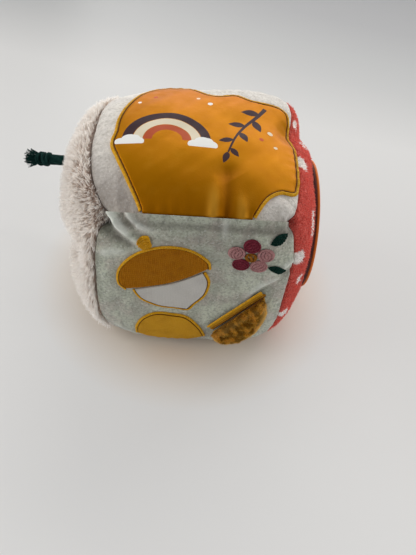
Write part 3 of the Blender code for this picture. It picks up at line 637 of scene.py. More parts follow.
def growStitches(name, chains, ups, ways, values, material, nodes=(), body="block"):
    # Stitches along edge chains, each turned to its surface
    base = lineBase(name, chains, up=ups, across=ways)
    mesh = growMesh(name, stitchTree, base, {**values, "Stitch": stitch, "Material": material})
    finishPiece(name, mesh, [material], nodes, body)


# Materials
def objectPlace(tree):
    return addNode(tree, "ShaderNodeTexCoord")["Object"]


def attribute(tree, name):
    return addNode(tree, "ShaderNodeAttribute", {"attribute_name": name})["Fac"]


def noise(tree, place, scale, detail=3.0):
    wires = {"Vector": place, "Scale": scale, "Detail": detail}
    return addNode(tree, "ShaderNodeTexNoise", {}, wires)["Fac"]


def mapRange(tree, value, low, high, newLow=0.0, newHigh=1.0):
    wires = {0: value, 1: low, 2: high, 3: newLow, 4: newHigh}
    return addNode(tree, "ShaderNodeMapRange", {}, wires)[0]


def noiseMask(tree, place, scale, low, high, detail=3.0, stretch=None):
    # 0 to 1 where fractal noise runs from low to high
    if stretch:
        place = addNode(tree, "ShaderNodeMapping", {},
                        {"Vector": place, "Scale": stretch})["Vector"]
    return mapRange(tree, noise(tree, place, scale, detail), low, high)


def layer(tree, under, colour, mask, strength=1.0):
    if strength != 1.0:
        mask = maths(tree, "MULTIPLY", mask, strength)
    return addNode(tree, "ShaderNodeMix", {"data_type": "RGBA"}, {0: mask, 6: under, 7: colour})[2]


def newMaterial(name, roughness, constants=None):
    made = bpy.data.materials.new(name)
    made.use_nodes = True
    shader = made.node_tree.nodes["Principled BSDF"]
    shader.inputs["Roughness"].default_value = roughness
    for key, value in (constants or {}).items():
        shader.inputs[key].default_value = value
    return made, made.node_tree, shader


def bump(tree, shader, height, distance, strength):
    wires = {"Height": height, "Distance": distance, "Strength": strength}
    normal = addNode(tree, "ShaderNodeBump", {}, wires)["Normal"]
    tree.links.new(normal, shader.inputs["Normal"])


def velour(name, base, shade, patch, fleck, paintedShade, sheen=0.35, spot=None):
    # Short brushed pile: broad patches, crushed streaks, dark grains and light flecks
    made, tree, shader = newMaterial(name, 0.92, {"Sheen Weight": sheen, "Sheen Roughness": 0.5,
                                                  "Specular IOR Level": 0.2})
    place = objectPlace(tree)
    colour = layer(tree, base, patch, noiseMask(tree, place, 62, 0.44, 0.62, 3), 0.85)
    streaks = noiseMask(tree, place, 150, 0.42, 0.66, 4, (1.0, 1.0, 0.42))
    colour = layer(tree, colour, shade, streaks, 0.50)
    colour = layer(tree, colour, shade, noiseMask(tree, place, 640, 0.47, 0.62, 2), 0.60)
    flecks = noiseMask(tree, place, 800, 0.59, 0.70, 1)
    colour = layer(tree, colour, fleck, flecks, 0.50)
    # Painted shade in creases, pits and shaded zones, from a per-point attribute
    deep = attribute(tree, "paintedShade")
    colour = layer(tree, colour, paintedShade, deep, 0.72)
    # Painted highlight on the ridges of folds, in the light fleck colour
    high = attribute(tree, "ridge")
    colour = layer(tree, colour, fleck, high, 0.65)
    if spot:
        printed = attribute(tree, "spot")
        colour = layer(tree, colour, spot, printed)
    tree.links.new(colour, shader.inputs["Base Color"])
    grain = noise(tree, place, 1500)
    rough = maths(tree, "ADD", grain, maths(tree, "MULTIPLY", streaks, -1.2))
    bump(tree, shader, rough, 0.0006, 0.7)
    return made


def pileMaterial(name, root, middle, tip, other, spot=None, sheen=0.5, crushed=0.0):
    # Strands darken towards their roots, vary from one to the next and let some light through
    made, tree, shader = newMaterial(name, 0.9, {"Sheen Weight": sheen, "Sheen Roughness": 0.45,
                                                 "Sheen Tint": tip, "Specular IOR Level": 0.1})
    share = attribute(tree, "tipShare")
    ramp = tree.nodes.new("ShaderNodeValToRGB")
    ramp.color_ramp.elements.new(0.5)
    for element, at, colour in zip(ramp.color_ramp.elements, (0.0, 0.5, 1.0), (root, middle, tip)):
        element.position, element.color = at, colour
    tree.links.new(share, ramp.inputs["Fac"])
    tone = attribute(tree, "strandTone")
    colour = layer(tree, ramp.outputs["Color"], other, tone, 0.35)
    if crushed:
        flattened = noiseMask(tree, objectPlace(tree), 210, 0.44, 0.56, 2)
        colour = layer(tree, colour, root, flattened, crushed)
    if spot:
        printed = attribute(tree, "spot")
        colour = layer(tree, colour, spot, printed)
    tree.links.new(colour, shader.inputs["Base Color"])
    through = addNode(tree, "ShaderNodeBsdfTranslucent", {}, {"Color": colour})["BSDF"]
    both = addNode(tree, "ShaderNodeMixShader", {},
                   {"Fac": 0.45, 1: shader.outputs["BSDF"], 2: through})
    tree.links.new(both["Shader"], tree.nodes["Material Output"].inputs["Surface"])
    return made


def threadMaterial(name, base, dark, light, roughness=0.55):
    made, tree, shader = newMaterial(name, roughness, {"Sheen Weight": 0.12, "Sheen Tint": light,
                                                       "Specular IOR Level": 0.2,
                                                       "Specular Tint": light})
    place = objectPlace(tree)
    tone = attribute(tree, "strandTone")
    colour = layer(tree, base, dark, tone, 0.45)
    colour = layer(tree, colour, light, noiseMask(tree, place, 1400, 0.52, 0.72, 2), 0.6)
    colour = layer(tree, colour, dark, noiseMask(tree, place, 240, 0.50, 0.75, 2), 0.4)
    tree.links.new(colour, shader.inputs["Base Color"])
    bump(tree, shader, noise(tree, place, 3800, 2.0), 0.0002, 0.6)
    return made


def clothMaterial(name, base, dark, light, weave=2100.0, roughness=0.85, sheen=0.15):
    # Plain woven cloth: crossing threads, small slubs and broad wear
    made, tree, shader = newMaterial(name, roughness, {"Sheen Weight": sheen, "Sheen Tint": light,
                                                       "Specular IOR Level": 0.12})
    place = objectPlace(tree)
    colour = layer(tree, base, dark, noiseMask(tree, place, 80, 0.45, 0.72, 3), 0.45)
    colour = layer(tree, colour, light, noiseMask(tree, place, 1300, 0.50, 0.74, 2), 0.45)
    heights = []
    for direction in ("X", "Z"):
        wave = addNode(tree, "ShaderNodeTexWave", {"bands_direction": direction},
                       {"Vector": place, "Scale": weave / 6.6, "Distortion": 0.5})["Fac"]
        heights.append(wave)
    threads = maths(tree, "MAXIMUM", heights[0], heights[1])
    colour = layer(tree, colour, dark, maths(tree, "SUBTRACT", 1.0, threads), 0.30)
    tree.links.new(colour, shader.inputs["Base Color"])
    bump(tree, shader, threads, 0.0003, 0.55)
    return made


def leatherMaterial(name, base, deep, pale, roughness=0.46, pearl=0.0, paintedShade=None):
    # Coated leather cloth: smooth, a fine grain, a little uneven in gloss and colour
    made, tree, shader = newMaterial(name, roughness,
                                     {"Specular IOR Level": 0.08, "Specular Tint": base,
                                                       "Metallic": pearl})
    place = objectPlace(tree)
    colour = layer(tree, base, deep, noiseMask(tree, place, 46, 0.42, 0.70, 3), 0.30)
    colour = layer(tree, colour, pale, noiseMask(tree, place, 120, 0.52, 0.80, 4), 0.14)
    # Painted shade from a per-point attribute, in the given shade colour, and a painted highlight
    # on fold ridges
    if paintedShade:
        low = attribute(tree, "paintedShade")
        colour = layer(tree, colour, paintedShade, low)
        high = attribute(tree, "ridge")
        colour = layer(tree, colour, pale, high, 0.55)
    tree.links.new(colour, shader.inputs["Base Color"])
    uneven = mapRange(tree, noise(tree, place, 160, 4.0), 0.3, 0.7, roughness - 0.05,
                      roughness + 0.08)
    tree.links.new(uneven, shader.inputs["Roughness"])
    cells = addNode(tree, "ShaderNodeTexVoronoi", {}, {"Vector": place, "Scale": 1500})["Distance"]
    soft = noise(tree, place, 700)
    bump(tree, shader, maths(tree, "ADD", cells, soft), 0.00012, 0.35)
    return made


def plainMaterial(name, base, other, roughness, constants=None, scale=300, grain=0.0002):
    made, tree, shader = newMaterial(name, roughness, constants)
    place = objectPlace(tree)
    colour = layer(tree, base, other, noiseMask(tree, place, scale, 0.40, 0.70, 3), 0.5)
    tree.links.new(colour, shader.inputs["Base Color"])
    bump(tree, shader, noise(tree, place, scale * 4), grain, 0.4)
    return made


# The fifth colour of each velour is the colour of its painted shade
creamVelour = velour("cream_velour", tint(220, 214, 204), tint(184, 177, 167), tint(206, 199, 192),
                     tint(238, 234, 227), tint(122, 110, 99))
sageVelour = velour("sage_velour", tint(196, 200, 180), tint(136, 138, 124), tint(181, 171, 159),
                    tint(222, 224, 214), tint(88, 84, 74))
coralGround = velour("coral_ground", tint(224, 104, 90), tint(190, 72, 60), tint(214, 96, 84),
                     tint(232, 134, 122), tint(132, 34, 32), 0.1, tint(244, 236, 230))
plushGround = velour("plush_ground", tint(188, 166, 152), tint(160, 136, 122), tint(192, 172, 158),
                     tint(210, 196, 184), tint(150, 124, 110), 0.2)
coralPile = pileMaterial("coral_pile", tint(222, 98, 86), tint(236, 130, 116), tint(244, 162, 148),
                         tint(224, 108, 96), tint(250, 248, 245), 0.2)
creamPile = pileMaterial("cream_pile", tint(226, 212, 200), tint(243, 237, 230),
                         tint(251, 248, 244),
                         tint(246, 241, 235), None, 0.4)
# The last colour of the mustard leather is the colour of its painted shade
mustardLeather = leatherMaterial("mustard_leather", tint(180, 117, 5), tint(166, 102, 3),
                                 tint(214, 156, 52), 0.42, 0.40, tint(112, 58, 2))
tanLeather = leatherMaterial("tan_leather", tint(216, 124, 60), tint(198, 104, 44),
                             tint(226, 146, 86))
printDark = leatherMaterial("print_dark", tint(64, 46, 50), tint(52, 36, 40), tint(78, 60, 64))
printCream = leatherMaterial("print_cream", tint(222, 210, 184), tint(212, 199, 170),
                             tint(232, 223, 202))
printWhite = leatherMaterial("print_white", tint(236, 235, 230), tint(226, 226, 221),
                             tint(242, 241, 238))
printBrick = leatherMaterial("print_brick", tint(182, 84, 50), tint(166, 70, 38),
                             tint(196, 102, 68))
yellowThread = threadMaterial("yellow_thread", tint(230, 172, 36), tint(182, 122, 14),
                              tint(248, 210, 100), 0.6)
# Thread for the painted shadow lines beside the satin borders
shadowThread = threadMaterial("shadow_thread", tint(96, 50, 16), tint(66, 32, 10), tint(126, 76, 30))
ribCloth = threadMaterial("brown_rib", tint(176, 112, 16), tint(136, 78, 8), tint(200, 140, 42),
                          0.85)
whiteCloth = clothMaterial("white_cloth", tint(202, 198, 190), tint(174, 169, 162),
                           tint(220, 217, 211))
mustardCloth = clothMaterial("mustard_cloth", tint(210, 152, 32), tint(170, 114, 12),
                             tint(226, 178, 66),
                             2600.0, 0.8, 0.05)
plushPile = pileMaterial("mustard_plush", tint(98, 50, 2), tint(236, 170, 36), tint(255, 220, 112),
                         tint(176, 110, 12), tint(255, 228, 146), 0.2, 0.55)
hemThread = threadMaterial("hem_thread", tint(188, 128, 24), tint(110, 64, 6), tint(228, 178, 76))
plushUnder = plainMaterial("plush_under", tint(126, 78, 10), tint(92, 54, 6), 0.9)
pinkThread = threadMaterial("dusty_pink", tint(184, 134, 132), tint(152, 100, 102),
                            tint(208, 170, 164), 0.7)
burgundyThread = threadMaterial("burgundy", tint(130, 48, 62), tint(96, 28, 42), tint(156, 76, 88),
                                0.7)
ochreThread = threadMaterial("ochre_thread", tint(150, 96, 32), tint(120, 70, 18),
                             tint(176, 122, 54), 0.7)
greenThread = threadMaterial("green_thread", tint(20, 52, 44), tint(8, 32, 26), tint(44, 78, 68),
                             0.7)
greenYarn = threadMaterial("green_yarn", tint(18, 46, 42), tint(4, 20, 18), tint(40, 74, 68), 0.9)
fluff = plainMaterial("fibre", tint(232, 232, 228), tint(214, 214, 210), 1.0, None, 400, 0.0008)
silver = plainMaterial("mirror_silver", tint(236, 238, 240), tint(228, 230, 234), 0.06,
                       {"Metallic": 1.0}, 30, 0.00001)
foam = plainMaterial("grey_foam", tint(150, 146, 142), tint(120, 116, 112), 0.95, None, 900)
brownFelt = plainMaterial("brown_felt", tint(88, 46, 34), tint(58, 26, 20), 0.95,
                          {"Sheen Weight": 0.3},
                          700, 0.0005)
film = plainMaterial("clear_film", tint(232, 232, 232), tint(214, 216, 218), 0.25,
                     {"Transmission Weight": 0.7}, 200)
whitePlastic = plainMaterial("white_plastic", tint(226, 225, 220), tint(216, 214, 208), 0.4, None,
                             120,
                             0.00004)
print("materials made")

# Camera at the photograph's place, its picture slid without turning its axes
camera = {"azimuth": -1.9, "elevation": 44.4, "roll": 4.63, "distance": 0.4103,
          "focalPixels": 600.0, "picture": (416.0, 555.0), "middleAt": (192.8, 219.0),
          "sensor": 36.0}


def makeCamera():
    turn, high, roll = (math.radians(camera[key]) for key in ("azimuth", "elevation", "roll"))
    back = Vector((math.sin(turn) * math.cos(high), -math.cos(turn) * math.cos(high),
                   math.sin(high)))
    right = Vector((math.cos(turn), math.sin(turn), 0))
    up = back.cross(right)
    across = right * math.cos(roll) + up * math.sin(roll)
    upright = up * math.cos(roll) - right * math.sin(roll)
    focal, (wide, tall), (atX, atY) = camera["focalPixels"], camera["picture"], camera["middleAt"]
    aim = Vector(((atX - wide / 2) / focal, (tall / 2 - atY) / focal, -1))
    swing = Vector((0, 0, -1)).rotation_difference(aim).to_matrix()
    data = bpy.data.cameras.new("camera")
    data.sensor_width = camera["sensor"]
    data.lens = camera["sensor"] * focal / tall
    data.clip_start = 0.01
    made = newObject("camera", data)
    turned = Matrix((across, upright, back)).transposed() @ swing.inverted()
    place = Vector(blockMiddle) + back * camera["distance"]
    made.matrix_world = Matrix.Translation(place) @ turned.to_4x4()
    bpy.context.scene.camera = made


makeCamera()

# Floor and light: soft daylight from behind and a little to the right, and a pale surround
stageLook = {
    "floorReach": 1.6, "floorRoughness": 0.30, "floorShine": 0.12, "floorTone": 0.86,
    # Painted light on the floor: its glow, and a tint of the block's colour near its base
    "floorOwnLight": (0.06, 0.45), "contactReach": (0.066, 0.112), "contactBounce": 0.55,
    "bounceColour": tint(214, 190, 160), "worldColour": tint(236, 238, 242),
    "worldStrength": 0.42,
    # The floor's painted tones from near to far, a fall-off of the light, between these distances
    # and with this lean to the right
    "tones": ((0.0, 225, 224, 222), (0.36, 213, 212, 210), (0.56, 202, 201, 199),
              (0.68, 174, 174, 173), (0.84, 136, 136, 137), (1.0, 96, 97, 100)),
    "toneSpan": (-0.25, 0.62), "toneLean": 0.32,
}
lamps = {
    "window": {"place": (0.40, 1.15, 0.60), "size": (1.6, 1.1), "energy": 19.0,
               "colour": (1.0, 0.99, 0.97)},
    "left": {"place": (-1.00, 0.02, 0.40), "size": (0.9, 0.8), "energy": 8.5,
             "colour": (1.0, 0.99, 0.98)},
    "right": {"place": (1.00, -0.25, 0.50), "size": (0.8, 0.8), "energy": 3.4,
              "colour": (1.0, 0.98, 0.96)},
}


def makeStage():
    look = stageLook
    reach = look["floorReach"]
    corners = [(-reach, -reach, 0), (reach, -reach, 0), (reach, reach, 0), (-reach, reach, 0)]
    material, tree, shader = newMaterial("floor", look["floorRoughness"],
                                         {"Specular IOR Level": look["floorShine"]})
    place = objectPlace(tree)
    split = addNode(tree, "ShaderNodeSeparateXYZ", {}, {"Vector": place})
    # Painted fall-off of the light: the floor darkens with distance, and a little more to the right
    far = maths(tree, "ADD", split["Y"], maths(tree, "MULTIPLY", split["X"], look["toneLean"]))
    ramp = tree.nodes.new("ShaderNodeValToRGB")
    elements = ramp.color_ramp.elements
    while len(elements) < len(look["tones"]):
        elements.new(0.5)
    for element, (at, *colour) in zip(elements, look["tones"]):
        element.position, element.color = at, tint(*colour)
    tree.links.new(mapRange(tree, far, *look["toneSpan"]), ramp.inputs["Fac"])
    seen = addNode(tree, "ShaderNodeLightPath")["Is Camera Ray"]
    plain = (look["floorTone"],) * 3 + (1.0,)
    # Painted light: on camera rays the floor glows as though the room lit it from all round, and
    # glows less beside the block so that its shadow shows
    aside = addNode(tree, "ShaderNodeVectorMath", {"operation": "LENGTH"}, {0: place})["Value"]
    (nearest, open_), (low, high) = look["contactReach"], look["floorOwnLight"]
    own = addNode(tree, "ShaderNodeMapRange", {"interpolation_type": "SMOOTHSTEP"},
                  {0: aside, 1: nearest, 2: open_, 3: low, 4: high})[0]
    # Painted bounce light: near the block's base the floor takes a tint of the block's colour
    bounceShare = mapRange(tree, aside, nearest, open_, look["contactBounce"], 0.0)
    lit = layer(tree, ramp.outputs["Color"], look["bounceColour"], bounceShare)
    shown = vectors(tree, "SCALE", lit, maths(tree, "SUBTRACT", 1.0, own))
    colour = addNode(tree, "ShaderNodeMix", {"data_type": "RGBA"}, {0: seen, 6: plain, 7: shown})[2]
    tree.links.new(colour, shader.inputs["Base Color"])
    tree.links.new(lit, shader.inputs["Emission Color"])
    tree.links.new(maths(tree, "MULTIPLY", seen, own), shader.inputs["Emission Strength"])
    mesh = newMesh("floor", corners, [(0, 1, 2, 3)])
    mesh.materials.append(material)
    newObject("floor", mesh)
    world = bpy.data.worlds.new("surround")
    world.use_nodes = True
    sky = world.node_tree.nodes["Background"]
    sky.inputs["Color"].default_value = look["worldColour"]
    sky.inputs["Strength"].default_value = look["worldStrength"]
    bpy.context.scene.world = world
    for name, given in lamps.items():
        data = bpy.data.lights.new(name, "AREA")
        data.shape = "RECTANGLE"
        data.size, data.size_y = given["size"]
        data.energy, data.color = given["energy"], given["colour"]
        lamp = newObject(name, data)
        lamp.location = given["place"]
        aim = Vector(blockMiddle) - Vector(given["place"])
        lamp.rotation_euler = aim.to_track_quat("-Z", "Y").to_euler()
    bpy.context.scene.view_settings.view_transform = "Standard"


makeStage()
print("camera, floor and lights made")

# Pull cord: loosely twisted yarn, its knot and its frayed end
cordLook = {
    "leaves": -0.21, "route": [(-0.0013, 0.0015, -0.0004), (-0.0058, 0.0035, -0.0005),
                               (-0.0138, 0.0059, -0.0009), (-0.0258, 0.0085, -0.0019),
                               (-0.0378, 0.0105, -0.0035), (-0.0498, 0.0133, -0.0056)],
    "diameter": 0.0082, "taper": (0.30, 0.62, 0.92), "yarns": 12, "innerYarns": 5,
    "yarnRadius": 0.00125, "turns": 0.9, "knotLength": 0.0090, "knotDiameter": 0.0116,
    "tuftLength": 0.0115, "tuftDiameter": 0.0142, "endGap": 0.0003, "frayedYarns": 110,
    "frayRadius": 0.00034, "wrapDepth": 0.0021, "bundleReach": 0.00095, "wrapSway": 0.0011,
    "coreReach": 0.0024, "knotYarnRadius": 0.00112, "tuftRoot": 0.0032, "tuftSunk": 0.0008,
    "curl": 0.0009,
}


def carriedFrames(points):
    # Two cross directions carried along a line without twisting
    along = np.gradient(points, axis=0)
    along /= np.linalg.norm(along, axis=1)[:, None]
    first = np.cross(along[0], (0, 0, 1.0))
    rows = []
    for way in along:
        first = first - way * (first @ way)
        first /= np.linalg.norm(first)
        rows.append(first)
    rows = np.array(rows)
    return rows, np.cross(along, rows), along


def finishYarns(node, name, chains, tones, thick, radius, sides):
    base = lineBase(node, chains, strandTone=tones, thickness=thick)
    mesh = growMesh(node, tubeTree, base, {"Tube Radius": radius, "Sides": sides,
                                           "Material": greenYarn})
    return finishPiece(name, mesh, [greenYarn], [node])


def makeCord():
    look, source = cordLook, np.random.default_rng(21)
    leaves = blockMiddle + fullPoints("left", np.array([-1.0]), np.array([look["leaves"]]))[0]
    line = smoothLine(leaves + np.array(look["route"]), 12)
    first, second, along = carriedFrames(line)
    steps = np.r_[0, np.cumsum(np.linalg.norm(np.diff(line, axis=0), axis=1))]
    share = steps / steps[-1]
    # The seam squeezes the cord where it leaves it
    early = np.array([0.0, 1 / 3, 2 / 3, 1.0]) * steps[12]
    taper = np.interp(steps, early, (*look["taper"], 1.0))
    chains, tones, thick = [], [], []
    for k in range(look["yarns"] + look["innerYarns"]):
        outer = k < look["yarns"]
        count = look["yarns"] if outer else look["innerYarns"]
        wobble = 0.35 * softWaves(np.stack((share * 3, share * 0 + k, share * 0), 1), 1.0, 30 + k)
        angle = 2 * math.pi * (k / count + look["turns"] * share) + wobble
        reach = (look["diameter"] / 2 - look["yarnRadius"]) * (0.98 if outer else 0.5)
        reach = reach * taper * (1 + 0.05 * softWaves(np.stack((share * 4, share * 0 + k, share),
                                                               1), 1.0, 60 + k))
        chains.append(line + (reach * np.cos(angle))[:, None] * first
                      + (reach * np.sin(angle))[:, None] * second)
        tones.append(np.full(len(line), source.uniform(0, 1)))
        thick.append(np.maximum(taper, 0.45) * source.uniform(0.9, 1.1))
    cord = finishYarns("pull_cord", "pull_cord_yarn", chains, tones, thick, look["yarnRadius"], 7)
    way = Vector(along[-1])
    start = Vector(line[-1]) + way * look["endGap"]
    a, b, w = first[-1], second[-1], along[-1]

    # Three uneven wraps of a yarn bundle, and the cord that runs through them
    chains, tones, thick = [], [], []
    half = look["knotDiameter"] / 2
    for wrap in range(3):
        for yarn in range(4):
            turn = np.linspace(0, 2.25 * math.pi, 46) + wrap * 1.9
            offset = 2 * math.pi * yarn / 4 + turn * 0.7
            ring = half - look["wrapDepth"] + look["bundleReach"] * np.cos(offset)
            climb = look["knotLength"] * (0.20 + 0.30 * wrap) + look["bundleReach"] * np.sin(offset)
            climb = climb + look["wrapSway"] * np.sin(turn + wrap * 2.1) + 0.0004 * turn / math.pi
            chains.append(np.array(start) + climb[:, None] * w + (ring * np.cos(turn))[:, None] * a
                          + (ring * np.sin(turn))[:, None] * b)
            tones.append(np.full(46, source.uniform(0.2, 1)))
            thick.append(np.full(46, 0.9))
    for k in range(7):
        reach = look["coreReach"] * (k > 0)
        turn = 2 * math.pi * k / 6
        spine = np.linspace(0.0, look["knotLength"], 8)
        aside = reach * (math.cos(turn) * a + math.sin(turn) * b)
        chains.append(np.array(start) + spine[:, None] * w + aside)
        tones.append(np.full(8, 0.6))
        thick.append(np.full(8, 1.2))
    knot = finishYarns("cord_knot", "cord_knot_wraps", chains, tones, thick,
                       look["knotYarnRadius"], 6)

    # Frayed yarn ends that spread and curl
    start = start + way * (look["knotLength"] + look["endGap"])
    chains, tones, thick = [], [], []
    for _ in range(look["frayedYarns"]):
        turn, deep = source.uniform(0, 2 * math.pi), math.sqrt(source.uniform(0, 1))
        reach = look["tuftLength"] * source.uniform(0.70, 1.04)
        t = np.linspace(0, 1, 9)
        root = look["tuftRoot"]
        spread = root * deep + (look["tuftDiameter"] / 2 - root) * deep * t ** 1.3
        angle = turn + source.normal() * 0.6 * t
        curl = source.normal(size=2) * look["curl"] * np.sin(t * source.uniform(2, 7))[:, None]
        side = spread[:, None] * (np.cos(angle)[:, None] * a + np.sin(angle)[:, None] * b)
        chains.append(np.array(start) - look["tuftSunk"] * w + (reach * t)[:, None] * w + side
                      + curl[:, :1] * a + curl[:, 1:] * b)
        tones.append(np.full(9, source.uniform(0, 1)))
        thick.append(1.3 - 0.6 * t)
    tuft = finishYarns("cord_tuft", "cord_tuft_yarns", chains, tones, thick, look["frayRadius"], 5)


makeCord()

# Panels of the cover, each a closed sheet whose allowance turns into the seam
panelLook = {
    "cells": 170, "plainCells": 110, "crowding": 0.62, "cut": 0.142,
    # Painted shade on the velour: beside the top's left seam, and on the front under the top seam
    # and its hem
    "topShade": {"near": 0.65, "fade": 0.5, "depth": 0.8},
    "frontShade": {"middle": (0.15, 0.75), "reach": (0.5, 0.45), "depth": 0.45},
    "hemShade": {"at": 0.925, "reach": 0.055, "depth": 0.85}, "ridgeHigh": 0.0014,
}
edgeShare = 1 - shell["seamGap"] / (math.sqrt(2) * seamReach)
innerShare = edgeShare - math.sqrt(2) * shell["clothThickness"] / seamReach
# White spots of the coral side: place and half sizes in shares, and lean
spots = [(-0.12, 0.965, 0.100, 0.045, 0.0), (-0.64, 0.66, 0.050, 0.130, -0.75),
         (-0.965, 0.56, 0.045, 0.095, 0.1), (-0.895, 0.12, 0.038, 0.075, 0.0),
         (-0.950, -0.48, 0.055, 0.055, 0.3), (0.36, 0.87, 0.060, 0.045, 0.4),
         (0.62, 0.96, 0.060, 0.030, 0.0), (0.90, 0.62, 0.040, 0.090, 0.2),
         (0.82, 0.10, 0.045, 0.100, -0.2), (0.88, -0.46, 0.040, 0.090, 0.3),
         (0.55, -0.80, 0.080, 0.045, 0.5), (0.05, -0.86, 0.090, 0.045, -0.2),
         (-0.48, -0.82, 0.080, 0.045, 0.3), (-0.80, -0.86, 0.045, 0.060, 0.0),
         (0.92, -0.90, 0.050, 0.050, 0.0), (-0.05, -0.30, 0.050, 0.100, 0.2)]


def pileDepth(side, u, v):
    share = np.maximum(np.abs(u), np.abs(v))
    return shell["pile"].get(side, 0.0) * shell["pileSunk"] * (1 - share ** 4)


def spotShare(uv):
    shade = np.full(len(uv), -1.0)
    for u, v, half, tall, lean in spots:
        du, dv = uv[:, 0] - u, uv[:, 1] - v
        across = (du * math.cos(lean) + dv * math.sin(lean)) / half
        upright = (dv * math.cos(lean) - du * math.sin(lean)) / tall
        shade = np.maximum(shade, 1.0 - (np.abs(across) ** 2.6 + np.abs(upright) ** 2.6))
    return np.clip(shade * 6 + 0.5, 0, 1)


def gridShares(cells):
    t = np.linspace(-1, 1, cells + 1)
    k = panelLook["crowding"]
    shares = (1 - k) * t + k * np.sin(t * math.pi / 2)
    u, v = np.meshgrid(shares, shares, indexing="ij")
    return np.stack((u.ravel(), v.ravel()), 1)


def gridQuads(cells):
    i, j = np.meshgrid(np.arange(cells), np.arange(cells), indexing="ij")
    corner = (i * (cells + 1) + j).ravel()
    return np.stack((corner, corner + cells + 1, corner + cells + 2, corner + 1), 1)


def gridRim(cells):
    line = np.arange(cells)
    i = np.concatenate((line, line * 0 + cells, cells - line, line * 0))
    j = np.concatenate((line * 0, line, line * 0 + cells, cells - line))
    return i * (cells + 1) + j


def makePanel(side, material):
    cells = panelLook["plainCells" if side in ("back", "bottom") else "cells"]
    flat = gridShares(cells)
    outerUV, innerUV = flat * edgeShare, flat * innerShare
    ground = pileDepth(side, *outerUV.T)
    outer = onSide(side, outerUV, -ground)
    inner = onSide(side, innerUV, -pileDepth(side, *innerUV.T) - shell["clothThickness"])
    rim = gridRim(cells)
    turned = shellPoints(side, *outerUV[rim].T, -shell["allowance"], False)
    raw = shellPoints(side, *innerUV[rim].T, -shell["allowance"], False)
    size, quads = len(outer), gridQuads(cells)
    verts = np.concatenate((outer, inner, turned, raw))
    rings = [rim, np.arange(len(rim)) + 2 * size, np.arange(len(rim)) + 2 * size + len(rim),
             rim + size]
    faces = [quads, quads[:, ::-1] + size]
    for first, second in zip(rings, rings[1:]):
        faces.append(np.stack((first, second, np.roll(second, -1), np.roll(first, -1)), 1))
    uv = np.concatenate((outerUV, innerUV, outerUV[rim], innerUV[rim])) / 2 + 0.5
    mesh = newMesh(side + "_cloth", verts, np.concatenate(faces).tolist(), uv)
    # Painted shade in the creases and pits of the cloth
    low = hollowShare(side, *(uv * 2 - 1).T)
    # Painted shade on the top's left half, towards the front seam
    if side == "top":
        shade = panelLook["topShade"]
        left = np.clip(3 - uv[:, 0] * 6, 0, 1)
        near = np.clip((shade["near"] - uv[:, 1] * 2) / shade["fade"], 0, 1)
        low = np.maximum(low, left * near * shade["depth"])
    if side == "front":
        u, v = (uv * 2 - 1).T
        # Painted shade: a broad zone under the top seam, and a band under the hem
        shade, hem = panelLook["frontShade"], panelLook["hemShade"]
        (atU, atV), (wide, tall) = shade["middle"], shade["reach"]
        broad = shade["depth"] * np.exp(-((u - atU) / wide) ** 2 - ((v - atV) / tall) ** 2)
        narrow = hem["depth"] * np.exp(-((v - hem["at"]) / hem["reach"]) ** 2)
        low = np.maximum(np.maximum(low, broad), narrow * np.clip((u + 0.9) * 5, 0, 1))
        # Painted highlight on the ridges of the front's folds
        ridge = np.clip(foldLift(side, u, v) / panelLook["ridgeHigh"], 0, 1)
        addAttribute(mesh, "ridge", "FLOAT", ridge)
    addAttribute(mesh, "paintedShade", "FLOAT", low)
    if side == "right":
        addAttribute(mesh, "spot", "FLOAT", spotShare(uv * 2 - 1))
    piece = finishPiece(side + "_cloth", mesh, [material], [side + "_panel"])
    return piece, outerUV, outer, quads


def growPile(name, ground, quads, comb, share, length, values, material, body="block",
             extra=None):
    # Strands on a base surface that carries their direction, density and length
    base = newMesh(name, ground, quads.tolist())
    addAttribute(base, "comb", "FLOAT_VECTOR", comb)
    addAttribute(base, "pileShare", "FLOAT", share)
    addAttribute(base, "pileLength", "FLOAT", length)
    for label, given in (extra or {}).items():
        addAttribute(base, label, "FLOAT", given)
    mesh = growMesh(name, pileTree, base, {**values, "Material": material})
    print(name, "has", len(mesh.polygons) * 2, "triangles")
    return finishPiece(name, mesh, [material], (), body)


longWisp = wispShape("long_wisp", 3, 3, 2.6, 1.6, 3)
shortWisp = wispShape("short_wisp", 3, 2, 1.4, 1.4, 8)

pileLook = {
    "plush": {"Density": 470000.0, "Strand Length": 0.0080, "Strand Width": 0.00046,
              "Length Spread": 0.30, "Lean": 2.3, "Clumps per Metre": 105.0, "Jitter": 0.14,
              "Seed": 4, "Strand": longWisp},
    "plushUnder": {"Density": 470000.0, "Strand Length": 0.0072, "Strand Width": 0.00048,
                   "Length Spread": 0.4, "Lean": 2.3, "Clumps per Metre": 105.0, "Jitter": 0.34,
                   "Seed": 14, "Strand": longWisp},
    "terry": {"Density": 1560000.0, "Strand Length": 0.0017, "Strand Width": 0.00029,
              "Length Spread": 0.65, "Lean": 1.8, "Clumps per Metre": 420.0, "Jitter": 0.6,
              "Seed": 5, "Strand": shortWisp},
    "flap": {"Density": 8000000.0, "Strand Length": 0.0025, "Strand Width": 0.00020,
             "Length Spread": 0.45, "Lean": 3.8, "Clumps per Metre": 190.0, "Jitter": 0.22,
             "Seed": 6, "Strand": shortWisp},
}
# Comb of the long pile, with its push over the seams, and of the terry round the mirror
combLook = {"seamPush": 0.55, "overFront": 14, "hang": (0, -0.12, -0.28),
            "length": (0.62, 0.38, 0.30), "terryHang": (0.1, -0.1, -0.25), "bareRadius": 0.0425}


